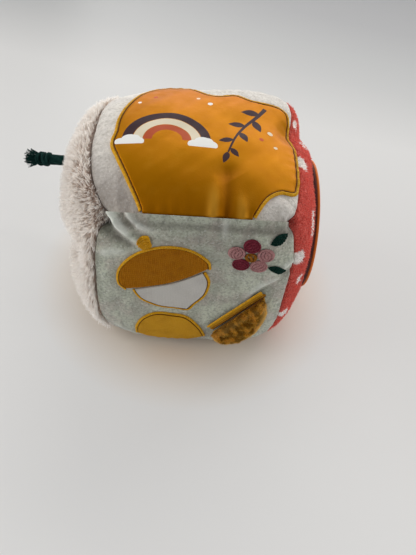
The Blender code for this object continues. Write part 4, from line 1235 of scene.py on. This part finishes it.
def makeCover():
    pieces = {}
    for side, material, slot in (("top", creamVelour, "cream_velour"),
                                 ("front", sageVelour, "sage_velour"),
                                 ("right", coralGround, "coral_terry"), ("back", sageVelour,
                                                                         "sage_velour"),
                                 ("bottom", creamVelour, "cream_velour"), ("left", plushGround,
                                                                           "cream_plush")):
        pieces[side] = makePanel(side, material)
    print("panels made")

    # Long pile on the left, combed outwards, down and over the seams
    _, uv, ground, quads = pieces["left"]
    normals = sideNormals("left", uv)
    share = np.max(np.abs(uv), axis=1)
    away = ground - blockMiddle - np.array((-0.06, 0, 0))
    away[:, 0] = 0
    away /= np.maximum(np.linalg.norm(away, axis=1), 0.02)[:, None]
    look = combLook
    overFront = np.clip(uv[:, 0], 0, 1) ** look["overFront"]
    push = look["seamPush"] * share ** 5 + look["seamPush"] * overFront
    comb = normals + away * push[:, None] + np.array(look["hang"])
    least, inMiddle, atFront = look["length"]
    length = least + inMiddle * (1 - share ** 5) + atFront * overFront
    plush = growPile("plush_long_pile", ground, quads, comb, np.ones(len(uv)), length,
                     pileLook["plush"], creamPile)
    under = growPile("plush_under_pile", ground, quads, comb, np.ones(len(uv)), length,
                     pileLook["plushUnder"], creamPile)

    # Brushed terry on the right, all but under the mirror
    _, uv, ground, quads = pieces["right"]
    normals = sideNormals("right", uv)
    aside = np.hypot(ground[:, 1], ground[:, 2] - restHeight - 0.002)
    grows = (aside > look["bareRadius"]).astype(float)
    comb = normals + np.array(look["terryHang"])
    terry = growPile("terry_pile", ground, quads, comb, grows, np.ones(len(uv)),
                     pileLook["terry"], coralPile,
                     extra={"spot": spotShare(uv)})


makeCover()

# Fibre filling, with the pocket that holds the rattle
fillLook = {"cells": 60, "gap": 0.0019, "drawIn": 0.0065, "lumpShare": 0.008, "lumpSize": 0.009,
            "pocketRadius": 0.0145, "pocketHeight": 0.0270, "pocketEnds": 0.35, "pocketTurns": 40}


def makeFilling():
    look = fillLook
    cells, turns = look["cells"], look["pocketTurns"]
    verts, faces = [], []
    uv = gridShares(cells)
    for side in shell["axes"]:
        rim = np.max(np.abs(uv), axis=1) ** 8
        deep = pileDepth(side, *uv.T) + shell["clothThickness"] + look["gap"] + look["drawIn"] * rim
        points = shellPoints(side, *uv.T, -deep, False)
        lumps = 1 + look["lumpShare"] * softWaves(points, look["lumpSize"], 3)
        points = blockMiddle + (points - blockMiddle) * lumps[:, None]
        faces.append(gridQuads(cells) + len(verts) * len(uv))
        verts.append(points)
    bm = bmesh.new()
    made = [bm.verts.new(p) for p in np.concatenate(verts)]
    for face in np.concatenate(faces):
        bm.faces.new([made[k] for k in face])
    bmesh.ops.remove_doubles(bm, verts=bm.verts, dist=0.0004)
    # The pocket's wall faces its own hollow
    rings = []
    for share, height in ((look["pocketEnds"], -1), (1, -1), (1, 1), (look["pocketEnds"], 1)):
        ring = []
        for k in range(turns):
            angle = 2 * math.pi * k / turns
            reach = look["pocketRadius"] * share
            ring.append(bm.verts.new((reach * math.cos(angle), reach * math.sin(angle),
                                      restHeight + height * look["pocketHeight"] / 2)))
        rings.append(ring)
    for first, second in zip(rings, rings[1:]):
        for k in range(turns):
            after = (k + 1) % turns
            bm.faces.new((second[k], second[after], first[after], first[k]))
    bm.faces.new(rings[0])
    bm.faces.new(rings[-1][::-1])
    mesh = bpy.data.meshes.new("filling")
    bm.to_mesh(mesh)
    bm.free()
    mesh.shade_smooth()
    piece = finishPiece("filling", mesh, [fluff], ["fibre_fill"])


makeFilling()
print("filling made")


# Cut-out shapes on the cover
layGap = 0.0004


def plateMesh(name, side, outline, thickness, spacing, edgeRound, shapes=()):
    # A cut piece laid on a side, its edges rounded over; spacing in metres
    flat, triangles, owners = fillOutline(outline, spacing / seamReach, shapes)
    away = awayFrom(flat, np.asarray(outline)) * seamReach
    near = np.clip(away / edgeRound, 0, 1)
    high = layGap + thickness * (0.30 + 0.70 * np.sqrt(1 - (1 - near) ** 2))
    top, bottom = onSide(side, flat, high), onSide(side, flat, layGap * 0.25)
    verts, faces = closedPlate(top, bottom, triangles)
    rim = len(faces) - 2 * len(triangles)
    picks = np.concatenate((owners, np.zeros(len(triangles) + rim, int)))
    uv = np.concatenate((flat, flat)) / 2 + 0.5
    return newMesh(name, verts, faces, uv, picks)


def surfaceStitches(name, side, chains, values, material, nodes, lift, along=False):
    # Stitches across lines on a side, or along them
    points, ups, ways = [], [], []
    for chain in chains:
        place = onSide(side, chain, lift)
        normals = sideNormals(side, chain)
        across, run = crossWays(place, normals)
        points.append(place)
        ups.append(normals)
        ways.append(run if along else across)
    growStitches(name, points, ups, ways, {"Slant": 0.0, "Jitter": 0.06, "Seed": 1, **values},
                 material, nodes)


def surfaceTube(name, side, lines, radius, lift, material, sides=6):
    # Fine piping laid along lines on a side
    chains = [onSide(side, line, lift) for line in lines]
    base = lineBase(name, chains, thickness=1.0,
                    strandTone=[0.5 + 0.5 * np.sin(np.arange(len(c)) * 1.7) for c in chains])
    mesh = growMesh(name, tubeTree, base,
                    {"Tube Radius": radius, "Sides": sides, "Material": material})
    finishPiece(name, mesh, [material])


patchLook = {
    "edge": [(-0.555, -0.965), (-0.60, -0.80), (-0.66, -0.60), (-0.735, -0.37), (-0.778, -0.215),
             (-0.757, -0.04), (-0.745, 0.15), (-0.71, 0.35), (-0.65, 0.55), (-0.57, 0.76),
             (-0.44, 0.885), (-0.27, 0.908), (-0.10, 0.853), (0.055, 0.722), (0.185, 0.655),
             (0.37, 0.688), (0.51, 0.603), (0.645, 0.589), (0.80, 0.597), (0.89, 0.555),
             (0.935, 0.44), (0.945, 0.18), (0.945, -0.30), (0.942, -0.59), (0.91, -0.675),
             (0.79, -0.68), (0.675, -0.75), (0.605, -0.85), (0.555, -0.965)],
    "thickness": 0.0011, "spacing": 0.0008, "edgeRound": 0.0011,
    "borderWidth": 0.0022, "borderGap": 0.0003, "borderReach": 1.06, "borderLift": 0.0002,
    "border": {"Spacing": 0.00040, "Stitch Width": 0.00052, "Stitch Height": 0.0015, "Slant": 0.12},
    "edgeLine": {"offset": 0.0001, "radius": 0.00032, "lift": 0.0012},
    "rainbow": {"middle": (-0.30, -0.17), "bands": ((0.41, 0.32), (0.315, 0.225), (0.22, 0.14))},
    "clouds": [((-0.64, -0.19), 0.125), ((0.03, -0.20), 0.135)],
    "sprig": [(0.66, 0.50), (0.56, 0.32), (0.44, 0.14), (0.34, -0.06), (0.27, -0.28)],
    "dots": [((0.70, 0.12), 0.030), ((0.60, -0.02), 0.024), ((0.10, 0.47), 0.026),
             ((-0.02, 0.58), 0.020), ((-0.46, 0.58), 0.024), ((-0.60, 0.45), 0.018),
             ((0.74, -0.10), 0.020)],
}


def circlePoints(count):
    turn = np.linspace(0, 2 * math.pi, count, endpoint=False)
    return np.stack((np.cos(turn), np.sin(turn)), 1)


def arcBand(middle, outer, inner, steps=40):
    turn = np.linspace(0, math.pi, steps)
    ring = np.stack((np.cos(turn), np.sin(turn)), 1)
    return np.concatenate((ring * outer, ring[::-1] * inner)) + middle


def cloudOutline(middle, size):
    # The outside of a few round puffs on a flat foot
    puffs = [((0.0, 0.12), 0.62), ((-0.62, -0.10), 0.42), ((0.62, -0.10), 0.44),
             ((0.30, 0.22), 0.46)]
    line = []
    for turn in np.linspace(0, 2 * math.pi, 72, endpoint=False):
        way = np.array((math.cos(turn), math.sin(turn)))
        far = 0.1
        for centre, radius in puffs:
            centre = np.array(centre)
            along = way @ centre
            rest = radius ** 2 - (centre @ centre - along ** 2)
            if rest > 0:
                far = max(far, along + math.sqrt(rest))
        if way[1] < 0:
            far = min(far, 0.34 / -way[1])
        line.append(way * far * size)
    return np.array(line) + middle


def leafOutline(root, tip, width, steps=14):
    root, tip = np.array(root, float), np.array(tip, float)
    run = tip - root
    side = np.array((-run[1], run[0])) / np.linalg.norm(run)
    t = np.linspace(0, 1, steps)
    swell = width * np.sin(math.pi * t ** 0.8) ** 0.9
    one = root + t[:, None] * run + swell[:, None] * side
    two = root + t[:, None] * run - swell[:, None] * side
    return np.concatenate((two, one[-2:0:-1]))


def sprigShapes():
    stem = smoothLine(patchLook["sprig"], 8)
    normals = runNormals(stem)
    taper = np.linspace(0.022, 0.008, len(stem))[:, None]
    shapes = [np.concatenate((stem + normals * taper, (stem - normals * taper)[::-1]))]
    for k, at in enumerate((5, 10, 15, 20, 25, 29)):
        run = stem[at] - stem[at - 3]
        run /= np.linalg.norm(run)
        side = 1 if k % 2 else -1
        way = run * 0.62 + side * np.array((-run[1], run[0])) * 0.80
        size = 0.20 - 0.012 * k
        shapes.append(leafOutline(stem[at] + way * 0.012, stem[at] + way * size, size * 0.23))
    end = stem[-1] - stem[-4]
    shapes.append(leafOutline(stem[-1], stem[-1] + end / np.linalg.norm(end) * 0.15, 0.032))
    return shapes


def makePatch():
    look = patchLook
    edge = smoothLine(look["edge"], 10)
    front = smoothLine([look["edge"][-1], (0.0, -0.968), look["edge"][0]], 24)
    # The leather runs on under the front's hem
    outline = np.concatenate((edge, front[1:-1]))
    outline[outline[:, 1] < -0.955, 1] = -0.994
    outline = outline[::-1]
    shapes, prints = [], []
    rainbow = look["rainbow"]
    for (outer, inner), material in zip(rainbow["bands"], (1, 2, 4)):
        shapes.append(arcBand(rainbow["middle"], outer, inner))
        prints.append(material)
    for shape in sprigShapes():
        shapes.append(shape)
        prints.append(1)
    for k, (middle, size) in enumerate(look["dots"]):
        shapes.append(circlePoints(24) * size + middle)
        prints.append((2, 4, 3)[k % 3])
    for middle, size in look["clouds"]:
        shapes.append(cloudOutline(middle, size))
        prints.append(3)
    mesh = plateMesh("leather_patch", "top", outline, look["thickness"], look["spacing"],
                     look["edgeRound"], shapes)
    picks = np.zeros(len(mesh.polygons), int)
    mesh.polygons.foreach_get("material_index", picks)
    mesh.polygons.foreach_set("material_index", np.array([0, *prints])[picks])
    u, v = (flatPlaces(mesh) * 2 - 1).T
    # Painted shade: the leather darkens towards the front seam, less so to the right, and in
    # creases and pits
    low = np.clip((-0.30 - v) / 0.70, 0, 1) ** 1.3 * 0.56 * np.clip(1.15 - u * 0.55, 0.4, 1)
    addAttribute(mesh, "paintedShade", "FLOAT", np.clip(low + 0.5 * hollowShare("top", u, v), 0, 1))
    # Painted highlight on the fold ridges near the front seam
    high = np.clip(foldLift("top", u, v) / 0.0011, 0, 1) * np.clip((-0.55 - v) / 0.25, 0, 1)
    addAttribute(mesh, "ridge", "FLOAT", high)
    materials = [mustardLeather, printDark, printCream, printWhite, printBrick]
    patch = finishPiece("leather_patch_printed", mesh, materials,
                        ["leather_patch"])
    layCut(patch)
    half = look["borderGap"] + look["borderWidth"] / 2
    surfaceStitches("patch_satin_border", "top", [offsetLine(edge, -half)],
                    {**look["border"], "Stitch Length": look["borderWidth"] * look["borderReach"]},
                    yellowThread, ["patch_border"], look["borderLift"])
    # A dark thread along the cut edge beside the satin border, a painted shadow line where border
    # and leather meet
    line = look["edgeLine"]
    surfaceTube("patch_edge_line", "top", [offsetLine(edge, line["offset"])], line["radius"],
                line["lift"], shadowThread)


makePatch()
print("leather patch made")

# Acorn, smooth leaf and flower on the front
frontLook = {
    "acornTilt": math.radians(24), "acornMiddle": (-0.25, 0.17), "acornHalf": 0.45,
    "thickness": 0.0010, "spacing": 0.00055, "edgeRound": 0.0009, "stitchedHigh": 0.0012,
    "borderWidth": 0.0016, "borderGap": 0.0003, "borderReach": 1.08, "borderLift": 0.0002,
    "border": {"Spacing": 0.00036, "Stitch Width": 0.00047, "Stitch Height": 0.0014, "Slant": 0.15},
    "edgeLine": {"radius": 0.00026, "lift": 0.00095},
    "ribPitch": 0.00115, "ribRadius": 0.00040, "ribLift": 0.00118, "ribInset": 0.0006,
    "fillPitch": 0.00040, "fillWidth": 0.00050, "fillLift": 0.0003,
    "capLower": [(-1.0, 0.02), (-0.55, -0.12), (0.0, -0.17), (0.55, -0.12), (1.0, 0.02)],
    "capUpper": [(1.0, 0.02), (1.04, 0.28), (0.84, 0.68), (0.45, 0.96), (0.0, 1.05), (-0.45, 0.96),
                 (-0.84, 0.68), (-1.04, 0.28), (-1.0, 0.02)],
    "nutUpper": [(0.84, -0.09), (0.45, -0.175), (0.0, -0.21), (-0.45, -0.175), (-0.84, -0.09)],
    "nutLeft": [(-0.84, -0.09), (-0.81, -0.46), (-0.56, -0.86), (-0.22, -1.08), (0.0, -1.24)],
    "nutRight": [(0.0, -1.24), (0.22, -1.08), (0.56, -0.86), (0.81, -0.46), (0.84, -0.09)],
    "stem": [(-0.11, 1.16), (-0.15, 1.34), (-0.05, 1.50), (0.11, 1.47), (0.13, 1.32), (0.11, 1.16),
             (0.0, 1.15)],
    "leafUpper": [(0.20, -0.84), (0.11, -0.67), (-0.03, -0.52), (-0.18, -0.475), (-0.36, -0.455),
                  (-0.49, -0.53), (-0.57, -0.68), (-0.60, -0.85)],
    "leafLower": [(-0.60, -0.85), (-0.42, -0.93), (-0.18, -0.95), (0.04, -0.93), (0.20, -0.84)],
    "flowerMiddle": (0.56, 0.60), "petals": 5, "petalTurn": 0.25, "petalPlaces": 0.150,
    "petalRadius": 0.084, "heartRadius": 0.058,
    "longLeafUpper": [(0.92, 0.91), (0.84, 0.90), (0.78, 0.86), (0.74, 0.79)],
    "longLeafLower": [(0.74, 0.79), (0.80, 0.78), (0.87, 0.82), (0.92, 0.91)],
    "shortLeafUpper": [(0.92, 0.44), (0.85, 0.49), (0.79, 0.50), (0.74, 0.47)],
    "shortLeafLower": [(0.74, 0.47), (0.79, 0.42), (0.86, 0.40), (0.92, 0.44)],
}


def acornPlace(points):
    lean = frontLook["acornTilt"]
    turn = np.array(((math.cos(lean), -math.sin(lean)), (math.sin(lean), math.cos(lean))))
    return np.asarray(points, float) @ turn.T * frontLook["acornHalf"] + frontLook["acornMiddle"]


def joined(*lines):
    # Smooth lines end to end, as one outline
    return np.concatenate([smoothLine(line, 8)[:-1] for line in lines])


def satin(name, line, nodes):
    look = frontLook
    half = look["borderGap"] + look["borderWidth"] / 2
    surfaceStitches(name, "front", [offsetLine(line, half)],
                    {**look["border"], "Stitch Length": look["borderWidth"] * look["borderReach"]},
                    yellowThread, nodes, look["borderLift"])


def frontEdgeLine(name, lines):
    # A dark thread along the cut edge beside a satin border, a painted shadow line where border and
    # cloth meet
    line = frontLook["edgeLine"]
    surfaceTube(name, "front", lines, line["radius"], line["lift"], shadowThread)


def frontCloth(name, outline, thickness, material, node):
    # A cut piece of cloth on the front
    look = frontLook
    mesh = plateMesh(node, "front", outline, thickness, look["spacing"], look["edgeRound"])
    piece = finishPiece(name, mesh, [material], [node])
    layCut(piece)


def filledShape(name, outline, angle, material, nodes, stitchLength=0.0021):
    # Rows of threads that fill an outline, in brick order
    turn = np.array(((math.cos(angle), -math.sin(angle)), (math.sin(angle), math.cos(angle))))
    flat = np.asarray(outline) @ turn
    half, rows = stitchLength / 2 / seamReach, []
    pitch = frontLook["fillPitch"] / seamReach
    levels = np.arange(flat[:, 1].min() + pitch * 0.6, flat[:, 1].max() - pitch * 0.4, pitch)
    for k, level in enumerate(levels):
        after = np.roll(flat, -1, 0)
        cross = (flat[:, 1] > level) != (after[:, 1] > level)
        start, end = flat[cross], after[cross]
        hits = start[:,
                     0] + (level - start[:, 1]) * (end[:, 0] - start[:, 0]) / (end[:, 1] - start[:,
                                                                                                 1])
        if len(hits) < 2:
            continue
        low, high = hits.min() + half * 0.8, hits.max() - half * 0.8
        if high - low < 0.004:
            low, high = (low + high) / 2 - 0.002, (low + high) / 2 + 0.002
        count = max(2, int((high - low) * seamReach / frontLook["fillPitch"]))
        row = np.stack((np.linspace(low, high, count), np.full(count, level)), 1)
        rows.append(row @ turn.T)
    surfaceStitches(name, "front", rows,
                    {"Spacing": stitchLength * 0.86, "Stitch Length": stitchLength,
                     "Stitch Width": frontLook["fillWidth"],
                     "Stitch Height": frontLook["stitchedHigh"], "Jitter": 0.09,
                     "Seed": len(name)},
                    material, nodes, frontLook["fillLift"], along=True)


def makeAcorn():
    look = frontLook
    capUpper, capLower = acornPlace(look["capUpper"]), acornPlace(look["capLower"])
    cap = joined(capLower, capUpper)
    frontCloth("acorn_cap_cloth", cap, look["thickness"] * 0.8, ribCloth, "acorn_cap")
    # Ribs of the cap's cloth, upright as the acorn leans
    ribs, pitch = [], look["ribPitch"] / seamReach
    for x in np.arange(cap[:, 0].min() + pitch, cap[:, 0].max(), pitch):
        column = np.stack((np.full(220, x) + np.linspace(0.5, -0.5, 220) * 0.05,
                           np.linspace(cap[:, 1].min(), cap[:, 1].max(), 220)), 1)
        held = inside(column, cap) & (awayFrom(column, cap) * seamReach > look["ribInset"])
        spans = np.flatnonzero(held)
        if len(spans) > 6:
            ribs.append(column[spans[0]:spans[-1] + 1:3])
    surfaceTube("acorn_cap_ribs", "front", ribs, look["ribRadius"], look["ribLift"], ribCloth,
                5)
    nut = joined(acornPlace(look["nutUpper"]), acornPlace(look["nutLeft"]),
                 acornPlace(look["nutRight"]))
    frontCloth("acorn_nut_cloth", nut, look["thickness"], whiteCloth, "acorn_nut")
    capEdge = smoothLine(capUpper, 8)
    satin("cap_satin_border", capEdge, ["cap_border"])
    nutEdge = smoothLine(np.concatenate((acornPlace(look["nutLeft"]),
                                         acornPlace(look["nutRight"])[1:])), 8)
    satin("nut_satin_border", nutEdge, ["nut_border"])
    frontEdgeLine("acorn_edge_line", [capEdge, nutEdge])
    stem = smoothLine(acornPlace(look["stem"]), 8, True)
    filledShape("acorn_stem_stitches", stem, look["acornTilt"] + 1.57, yellowThread,
                ["acorn_stem"], 0.0014)


def makeSmoothLeaf():
    look = frontLook
    outline = joined(look["leafUpper"], look["leafLower"])
    frontCloth("cloth_leaf_piece", outline, look["thickness"], mustardCloth,
               "cloth_leaf")
    edge = smoothLine(look["leafUpper"], 8)
    satin("cloth_leaf_satin_border", edge, ["cloth_leaf_border"])
    frontEdgeLine("cloth_leaf_edge_line", [edge])


def makeFlower():
    look = frontLook
    disc = circlePoints(40)
    for k in range(look["petals"]):
        angle = 2 * math.pi * (k + look["petalTurn"]) / look["petals"]
        middle = np.array(look["flowerMiddle"]) + look["petalPlaces"] * np.array((math.cos(angle),
                                                                                  math.sin(angle)))
        thread, slot = ((pinkThread, "dusty_pink"), (burgundyThread, "burgundy"))[k % 2]
        filledShape(f"petal_{k + 1}_stitches", disc * look["petalRadius"] + middle,
                    angle + 0.5 * (k % 2),
                    thread, [f"flower_petal_{k + 1}"])
    filledShape("flower_heart_stitches", disc * look["heartRadius"] + look["flowerMiddle"], 0.4,
                ochreThread, ["flower_heart"])
    for name, angle in (("long", 0.85), ("short", 0.30)):
        outline = joined(look[name + "LeafUpper"], look[name + "LeafLower"])
        filledShape(f"{name}_leaf_stitches", outline, angle, greenThread,
                    [f"flower_{name}_leaf"], 0.0018)


makeAcorn()
makeSmoothLeaf()
makeFlower()
print("front shapes made")

# Plush leaf flap, hinged along its upper-left edge
flapLook = {
    "length": 0.0490, "width": 0.0235, "slant": math.radians(52.4), "root": (0.25, -0.617),
    "hemStart": 0.0003, "hemWidth": 0.0018, "hemHeight": 0.0010,
    "layerGap": 0.0003, "backing": 0.0009, "film": 0.0004, "plushCrown": 0.0034,
    "crownReach": 0.0085, "lumpSize": 0.0060, "lumpHeight": 0.0008, "spacing": 0.0006,
    "stitchStart": 0.0014, "stitchWidth": 0.0014, "stitchHeight": 0.0010, "clothGap": 0.0004,
    "lap": 0.0016, "lapReach": 0.003, "lapSunk": 0.0005,
    "stitch": {"Spacing": 0.00036, "Stitch Width": 0.00047, "Slant": 0.14, "Jitter": 0.05,
               "Seed": 3},
    "stitchReach": 1.04,
    "free": [(0.04, 0.02), (0.20, 0.44), (0.36, 0.70), (0.52, 0.87), (0.70, 0.97), (0.86, 0.99),
             (1.00, 0.88), (1.09, 0.66), (1.11, 0.38), (1.05, 0.10)],
}
flapSeat = fullReach("front", (0.20, 0.35, 0.50, 0.65, 0.78),
                     (-0.70, -0.55, -0.40, -0.25, -0.10, 0.05))
flapSeat += flapLook["clothGap"]
flapOut = np.array((0.0, -1.0, 0.0))
flapAlong = np.array((-math.cos(flapLook["slant"]), 0, -math.sin(flapLook["slant"])))
flapAcross = np.cross(flapOut, flapAlong)
flapRoot = np.array((flapLook["root"][0], 0, flapLook["root"][1])) * seamReach
flapTip = flapRoot + (0, -flapSeat, restHeight) - flapAlong * flapLook["length"]


def onFlap(flat, high):
    flat = np.asarray(flat, float)
    high = np.zeros(len(flat)) + high
    return flapTip + flat[:, :1] * flapAlong + flat[:, 1:2] * flapAcross + high[:, None] * flapOut


def flapOutline():
    look = flapLook
    start = look["hemStart"] + look["hemWidth"] + look["layerGap"]
    free = [(s * look["length"], start + w * (look["width"] - start)) for s, w in look["free"]]
    return smoothLine(free, 8)


def flapDroop(flat):
    # The free edge settles back onto the front
    share = np.clip(flat[:, 1] / flapLook["width"], 0, 1)
    ends = np.clip((flat[:, 0] / flapLook["length"] - 0.62) / 0.45, 0, 1)
    return -0.0010 * share ** 2 - 0.0012 * ends ** 2 * share


def makeFlap():
    look = flapLook
    outline = flapOutline()
    flat, triangles, _ = fillOutline(outline, look["spacing"])
    near = awayFrom(flat, outline)
    low = look["backing"] + look["film"] + 2 * look["layerGap"]
    rise = np.sqrt(np.clip(1 - (1 - np.clip(near / look["crownReach"], 0, 1)) ** 2, 0, 1))
    lumps = softWaves(np.concatenate((flat, flat[:, :1] * 0), 1), look["lumpSize"], 31)
    lumps = lumps * look["lumpHeight"] * np.clip(near / 0.003, 0, 1)
    droop = flapDroop(flat)
    top = low + 0.0004 + (look["plushCrown"] - 0.0002) * rise + lumps + droop
    # The plush laps over the hem
    lapped = flat.copy()
    over = np.clip(1 - (flat[:, 1] - outline[:, 1].min()) / look["lapReach"], 0, 1)
    lapped[:, 1] -= look["lap"] * over
    under = low + droop - look["lapSunk"] * over
    verts, faces = closedPlate(onFlap(lapped, top), onFlap(lapped, under), triangles)
    mesh = newMesh("flap_plush", verts, faces)
    plush = finishPiece("flap_plush_cloth", mesh, [plushUnder], ["flap_plush"],
                        "leaf_flap")
    verts, faces = closedPlate(onFlap(flat, look["backing"] + droop * 0.9),
                               onFlap(flat, 0.0001 + droop), triangles)
    mesh = newMesh("flap_backing", verts, faces)
    piece = finishPiece("flap_backing_cloth", mesh, [mustardCloth],
                        ["flap_backing"],
                        "leaf_flap")
    layCut(piece)
    # Crushed pile, combed down the leaf
    comb = np.tile(flapOut * 0.9 + flapAlong * 0.7 + flapAcross * 0.25, (len(flat), 1))
    edge = np.clip(near / 0.0012, 0, 1)[:, None]
    outward = flat - outline.mean(0)
    outward /= np.maximum(np.linalg.norm(outward, axis=1), 1e-6)[:, None]
    comb = comb + (1 - edge) * (outward[:, :1] * flapAlong + outward[:, 1:] * flapAcross) * 1.5
    length = 0.75 + 0.25 * np.clip(near / 0.004, 0, 1)
    # Paler pile along the free edge: partly the edge's own paler finish, partly a painted highlight
    # of the light it catches
    rim = np.clip(1 - near / 0.0034, 0, 1) * np.clip(flat[:, 1] / 0.004 - 1, 0, 1)
    growPile("flap_pile", onFlap(lapped, top), triangles, comb, np.ones(len(flat)), length,
             pileLook["flap"], plushPile, "leaf_flap", {"spot": rim})

    def flapStitches(name, body, middle, width, high, nodes, thread):
        x = np.linspace(0, look["length"], 120)
        chain = onFlap(np.stack((x, np.full(120, middle)), 1), -0.0001)
        ups, ways = np.tile(flapOut, (120, 1)), np.tile(flapAcross, (120, 1))
        values = {**look["stitch"], "Stitch Length": width * look["stitchReach"],
                  "Stitch Height": high}
        growStitches(name, [chain], [ups], [ways], values, thread, nodes, body)

    flapStitches("flap_hem_stitches", "leaf_flap", look["hemStart"] + look["hemWidth"] / 2,
                 look["hemWidth"], look["hemHeight"], ["flap_hem"], hemThread)
    flapStitches("flap_row_stitches", "block", -look["stitchStart"] - look["stitchWidth"] / 2,
                 look["stitchWidth"], look["stitchHeight"] + 0.0002, ["flap_stitch_row"],
                 yellowThread)
    # Cloth hinge between the two rows
    x = np.linspace(0.0005, look["length"] - 0.0005, 60)
    y = np.linspace(-look["stitchStart"] - 0.0006, look["hemStart"] + 0.0006, 9)
    u, v = np.meshgrid(x, y, indexing="ij")
    flat = np.stack((u.ravel(), v.ravel()), 1)
    i, j = np.meshgrid(np.arange(59), np.arange(8), indexing="ij")
    corner = (i * 9 + j).ravel()
    quads = np.stack((corner, corner + 9, corner + 10, corner + 1), 1)
    triangles = np.concatenate((quads[:, :3], quads[:, (0, 2, 3)]))

    def flapStrip(name, high, low, material, body):
        verts, faces = closedPlate(onFlap(flat, high), onFlap(flat, low), triangles)
        finishPiece(name, newMesh(name, verts, faces), [material], (), body)

    flapStrip("flap_hinge_cloth", 0.0004, 0.0001, mustardCloth, "block")
    # Cloth under the hem's stitches, on the flap itself
    starts = look["hemStart"] + 0.0001, look["hemStart"] + look["hemWidth"] + look["layerGap"] * 1.4
    flat[:, 1] = np.interp(flat[:, 1], (y[0], y[-1]), starts)
    flapStrip("flap_hem_cloth", 0.0005, 0.00005, plushUnder, "leaf_flap")


makeFlap()
print("flap made")

# Round mirror: leather ring over a silvered plate and a felt back
mirrorLook = {
    "radius": 0.0430, "window": 0.0310, "plateRadius": 0.0350, "plateThickness": 0.0007,
    "padThickness": 0.0005, "backing": 0.0006, "lip": 0.0006, "gap": 0.0003, "lift": 0.0020,
    "turns": 180, "outerStitches": 0.0019, "innerStitches": 0.0017,
    "stitch": {"Spacing": 0.0030, "Stitch Length": 0.0024, "Stitch Width": 0.0006,
               "Stitch Height": 0.00035, "Slant": 0.0, "Jitter": 0.03, "Seed": 2},
}


def turnedMesh(name, profile, turns, wobble=0.0):
    # A closed profile of (radius, height) turned round the mirror's axis
    seat = mirrorSeat + mirrorLook["gap"]
    angle = np.linspace(0, 2 * math.pi, turns, endpoint=False)
    count = len(profile)
    uneven = 1 + wobble * softWaves(np.stack((np.cos(angle), np.sin(angle), angle * 0), 1), 0.7, 77)
    verts = []
    for radius, height in profile:
        across, upright = radius * uneven * np.cos(angle), radius * uneven * np.sin(angle)
        verts.append(np.stack((np.full(turns, seat + height), across,
                               restHeight + mirrorLook["lift"] + upright), 1))
    faces, k = [], np.arange(turns)
    for i in range(count):
        first, second = i * turns + k, (i + 1) % count * turns + k
        faces.append(np.stack((first, np.roll(first, -1), np.roll(second, -1), second), 1))
    mesh = newMesh(name, np.concatenate(verts), np.concatenate(faces).tolist())
    bm = bmesh.new()
    bm.from_mesh(mesh)
    bmesh.ops.recalc_face_normals(bm, faces=bm.faces)
    bm.to_mesh(mesh)
    bm.free()
    return mesh


def rounded(low, high, inner, outer, radius, steps=5):
    # A ring's section with its outer corners rounded
    turn = np.linspace(0, math.pi / 2, steps)
    line = [(inner, low), (outer - radius, low)]
    line += [(outer - radius + radius * math.sin(t),
              low + radius - radius * math.cos(t)) for t in turn[1:]]
    line += [(outer - radius + radius * math.cos(t),
              high - radius + radius * math.sin(t)) for t in turn]
    line += [(inner + radius, high), (inner, high - radius)]
    return line


def makeMirror():
    look = mirrorLook
    low = look["padThickness"] + look["gap"]
    mesh = turnedMesh("mirror_backing",
                      rounded(low, low + look["backing"], 0.004, look["radius"] - 0.0002,
                                                0.00025), look["turns"], 0.002)
    finishPiece("mirror_felt_back", mesh, [brownFelt], ["mirror_backing"])
    low += look["backing"] + look["gap"]
    top = low + look["plateThickness"] + look["gap"] + look["lip"]
    bore, lip = look["plateRadius"] + look["gap"], top - look["lip"]
    ring = [(bore, low), *rounded(low, top, bore, look["radius"], 0.0006)[1:-2]]
    ring += [(look["window"] + 0.0004, top), (look["window"] + 0.0001, top - 0.0002),
             (look["window"], lip + 0.0001), (bore, lip)]
    mesh = turnedMesh("mirror_frame", ring, look["turns"], 0.0015)
    finishPiece("mirror_leather_ring", mesh, [tanLeather], ["mirror_frame"])
    turn = np.linspace(0, 2 * math.pi, 400)
    seat = mirrorSeat + look["gap"] + top
    chains, ups, ways = [], [], []
    for radius in (look["radius"] - look["outerStitches"], look["window"] + look["innerStitches"]):
        chain = np.stack((np.full(400, seat - 0.0001), radius * np.cos(turn),
                          restHeight + look["lift"] + radius * np.sin(turn)), 1)
        chains.append(chain)
        ups.append(np.tile((1.0, 0, 0), (400, 1)))
        ways.append(crossWays(chain, ups[-1])[1])
    growStitches("mirror_stitches", chains, ups, ways, look["stitch"], yellowThread)


makeMirror()

# Plain finishes for the pieces whose CAD shape stays
for nodeName, finish in (("mirror_plate", silver), ("mirror_pad", foam), ("flap_film", film),
                         ("rattle_cup", whitePlastic), ("rattle_lid", whitePlastic),
                         *[(f"rattle_bead_{k}", whitePlastic) for k in range(1, 6)]):
    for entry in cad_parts[nodeName].material_slots:
        entry.material = finish
for helper in (stitch, longWisp, shortWisp):
    bpy.data.objects.remove(helper, do_unlink=True)
print("mirror and inner pieces finished")

bpy.context.view_layer.update()
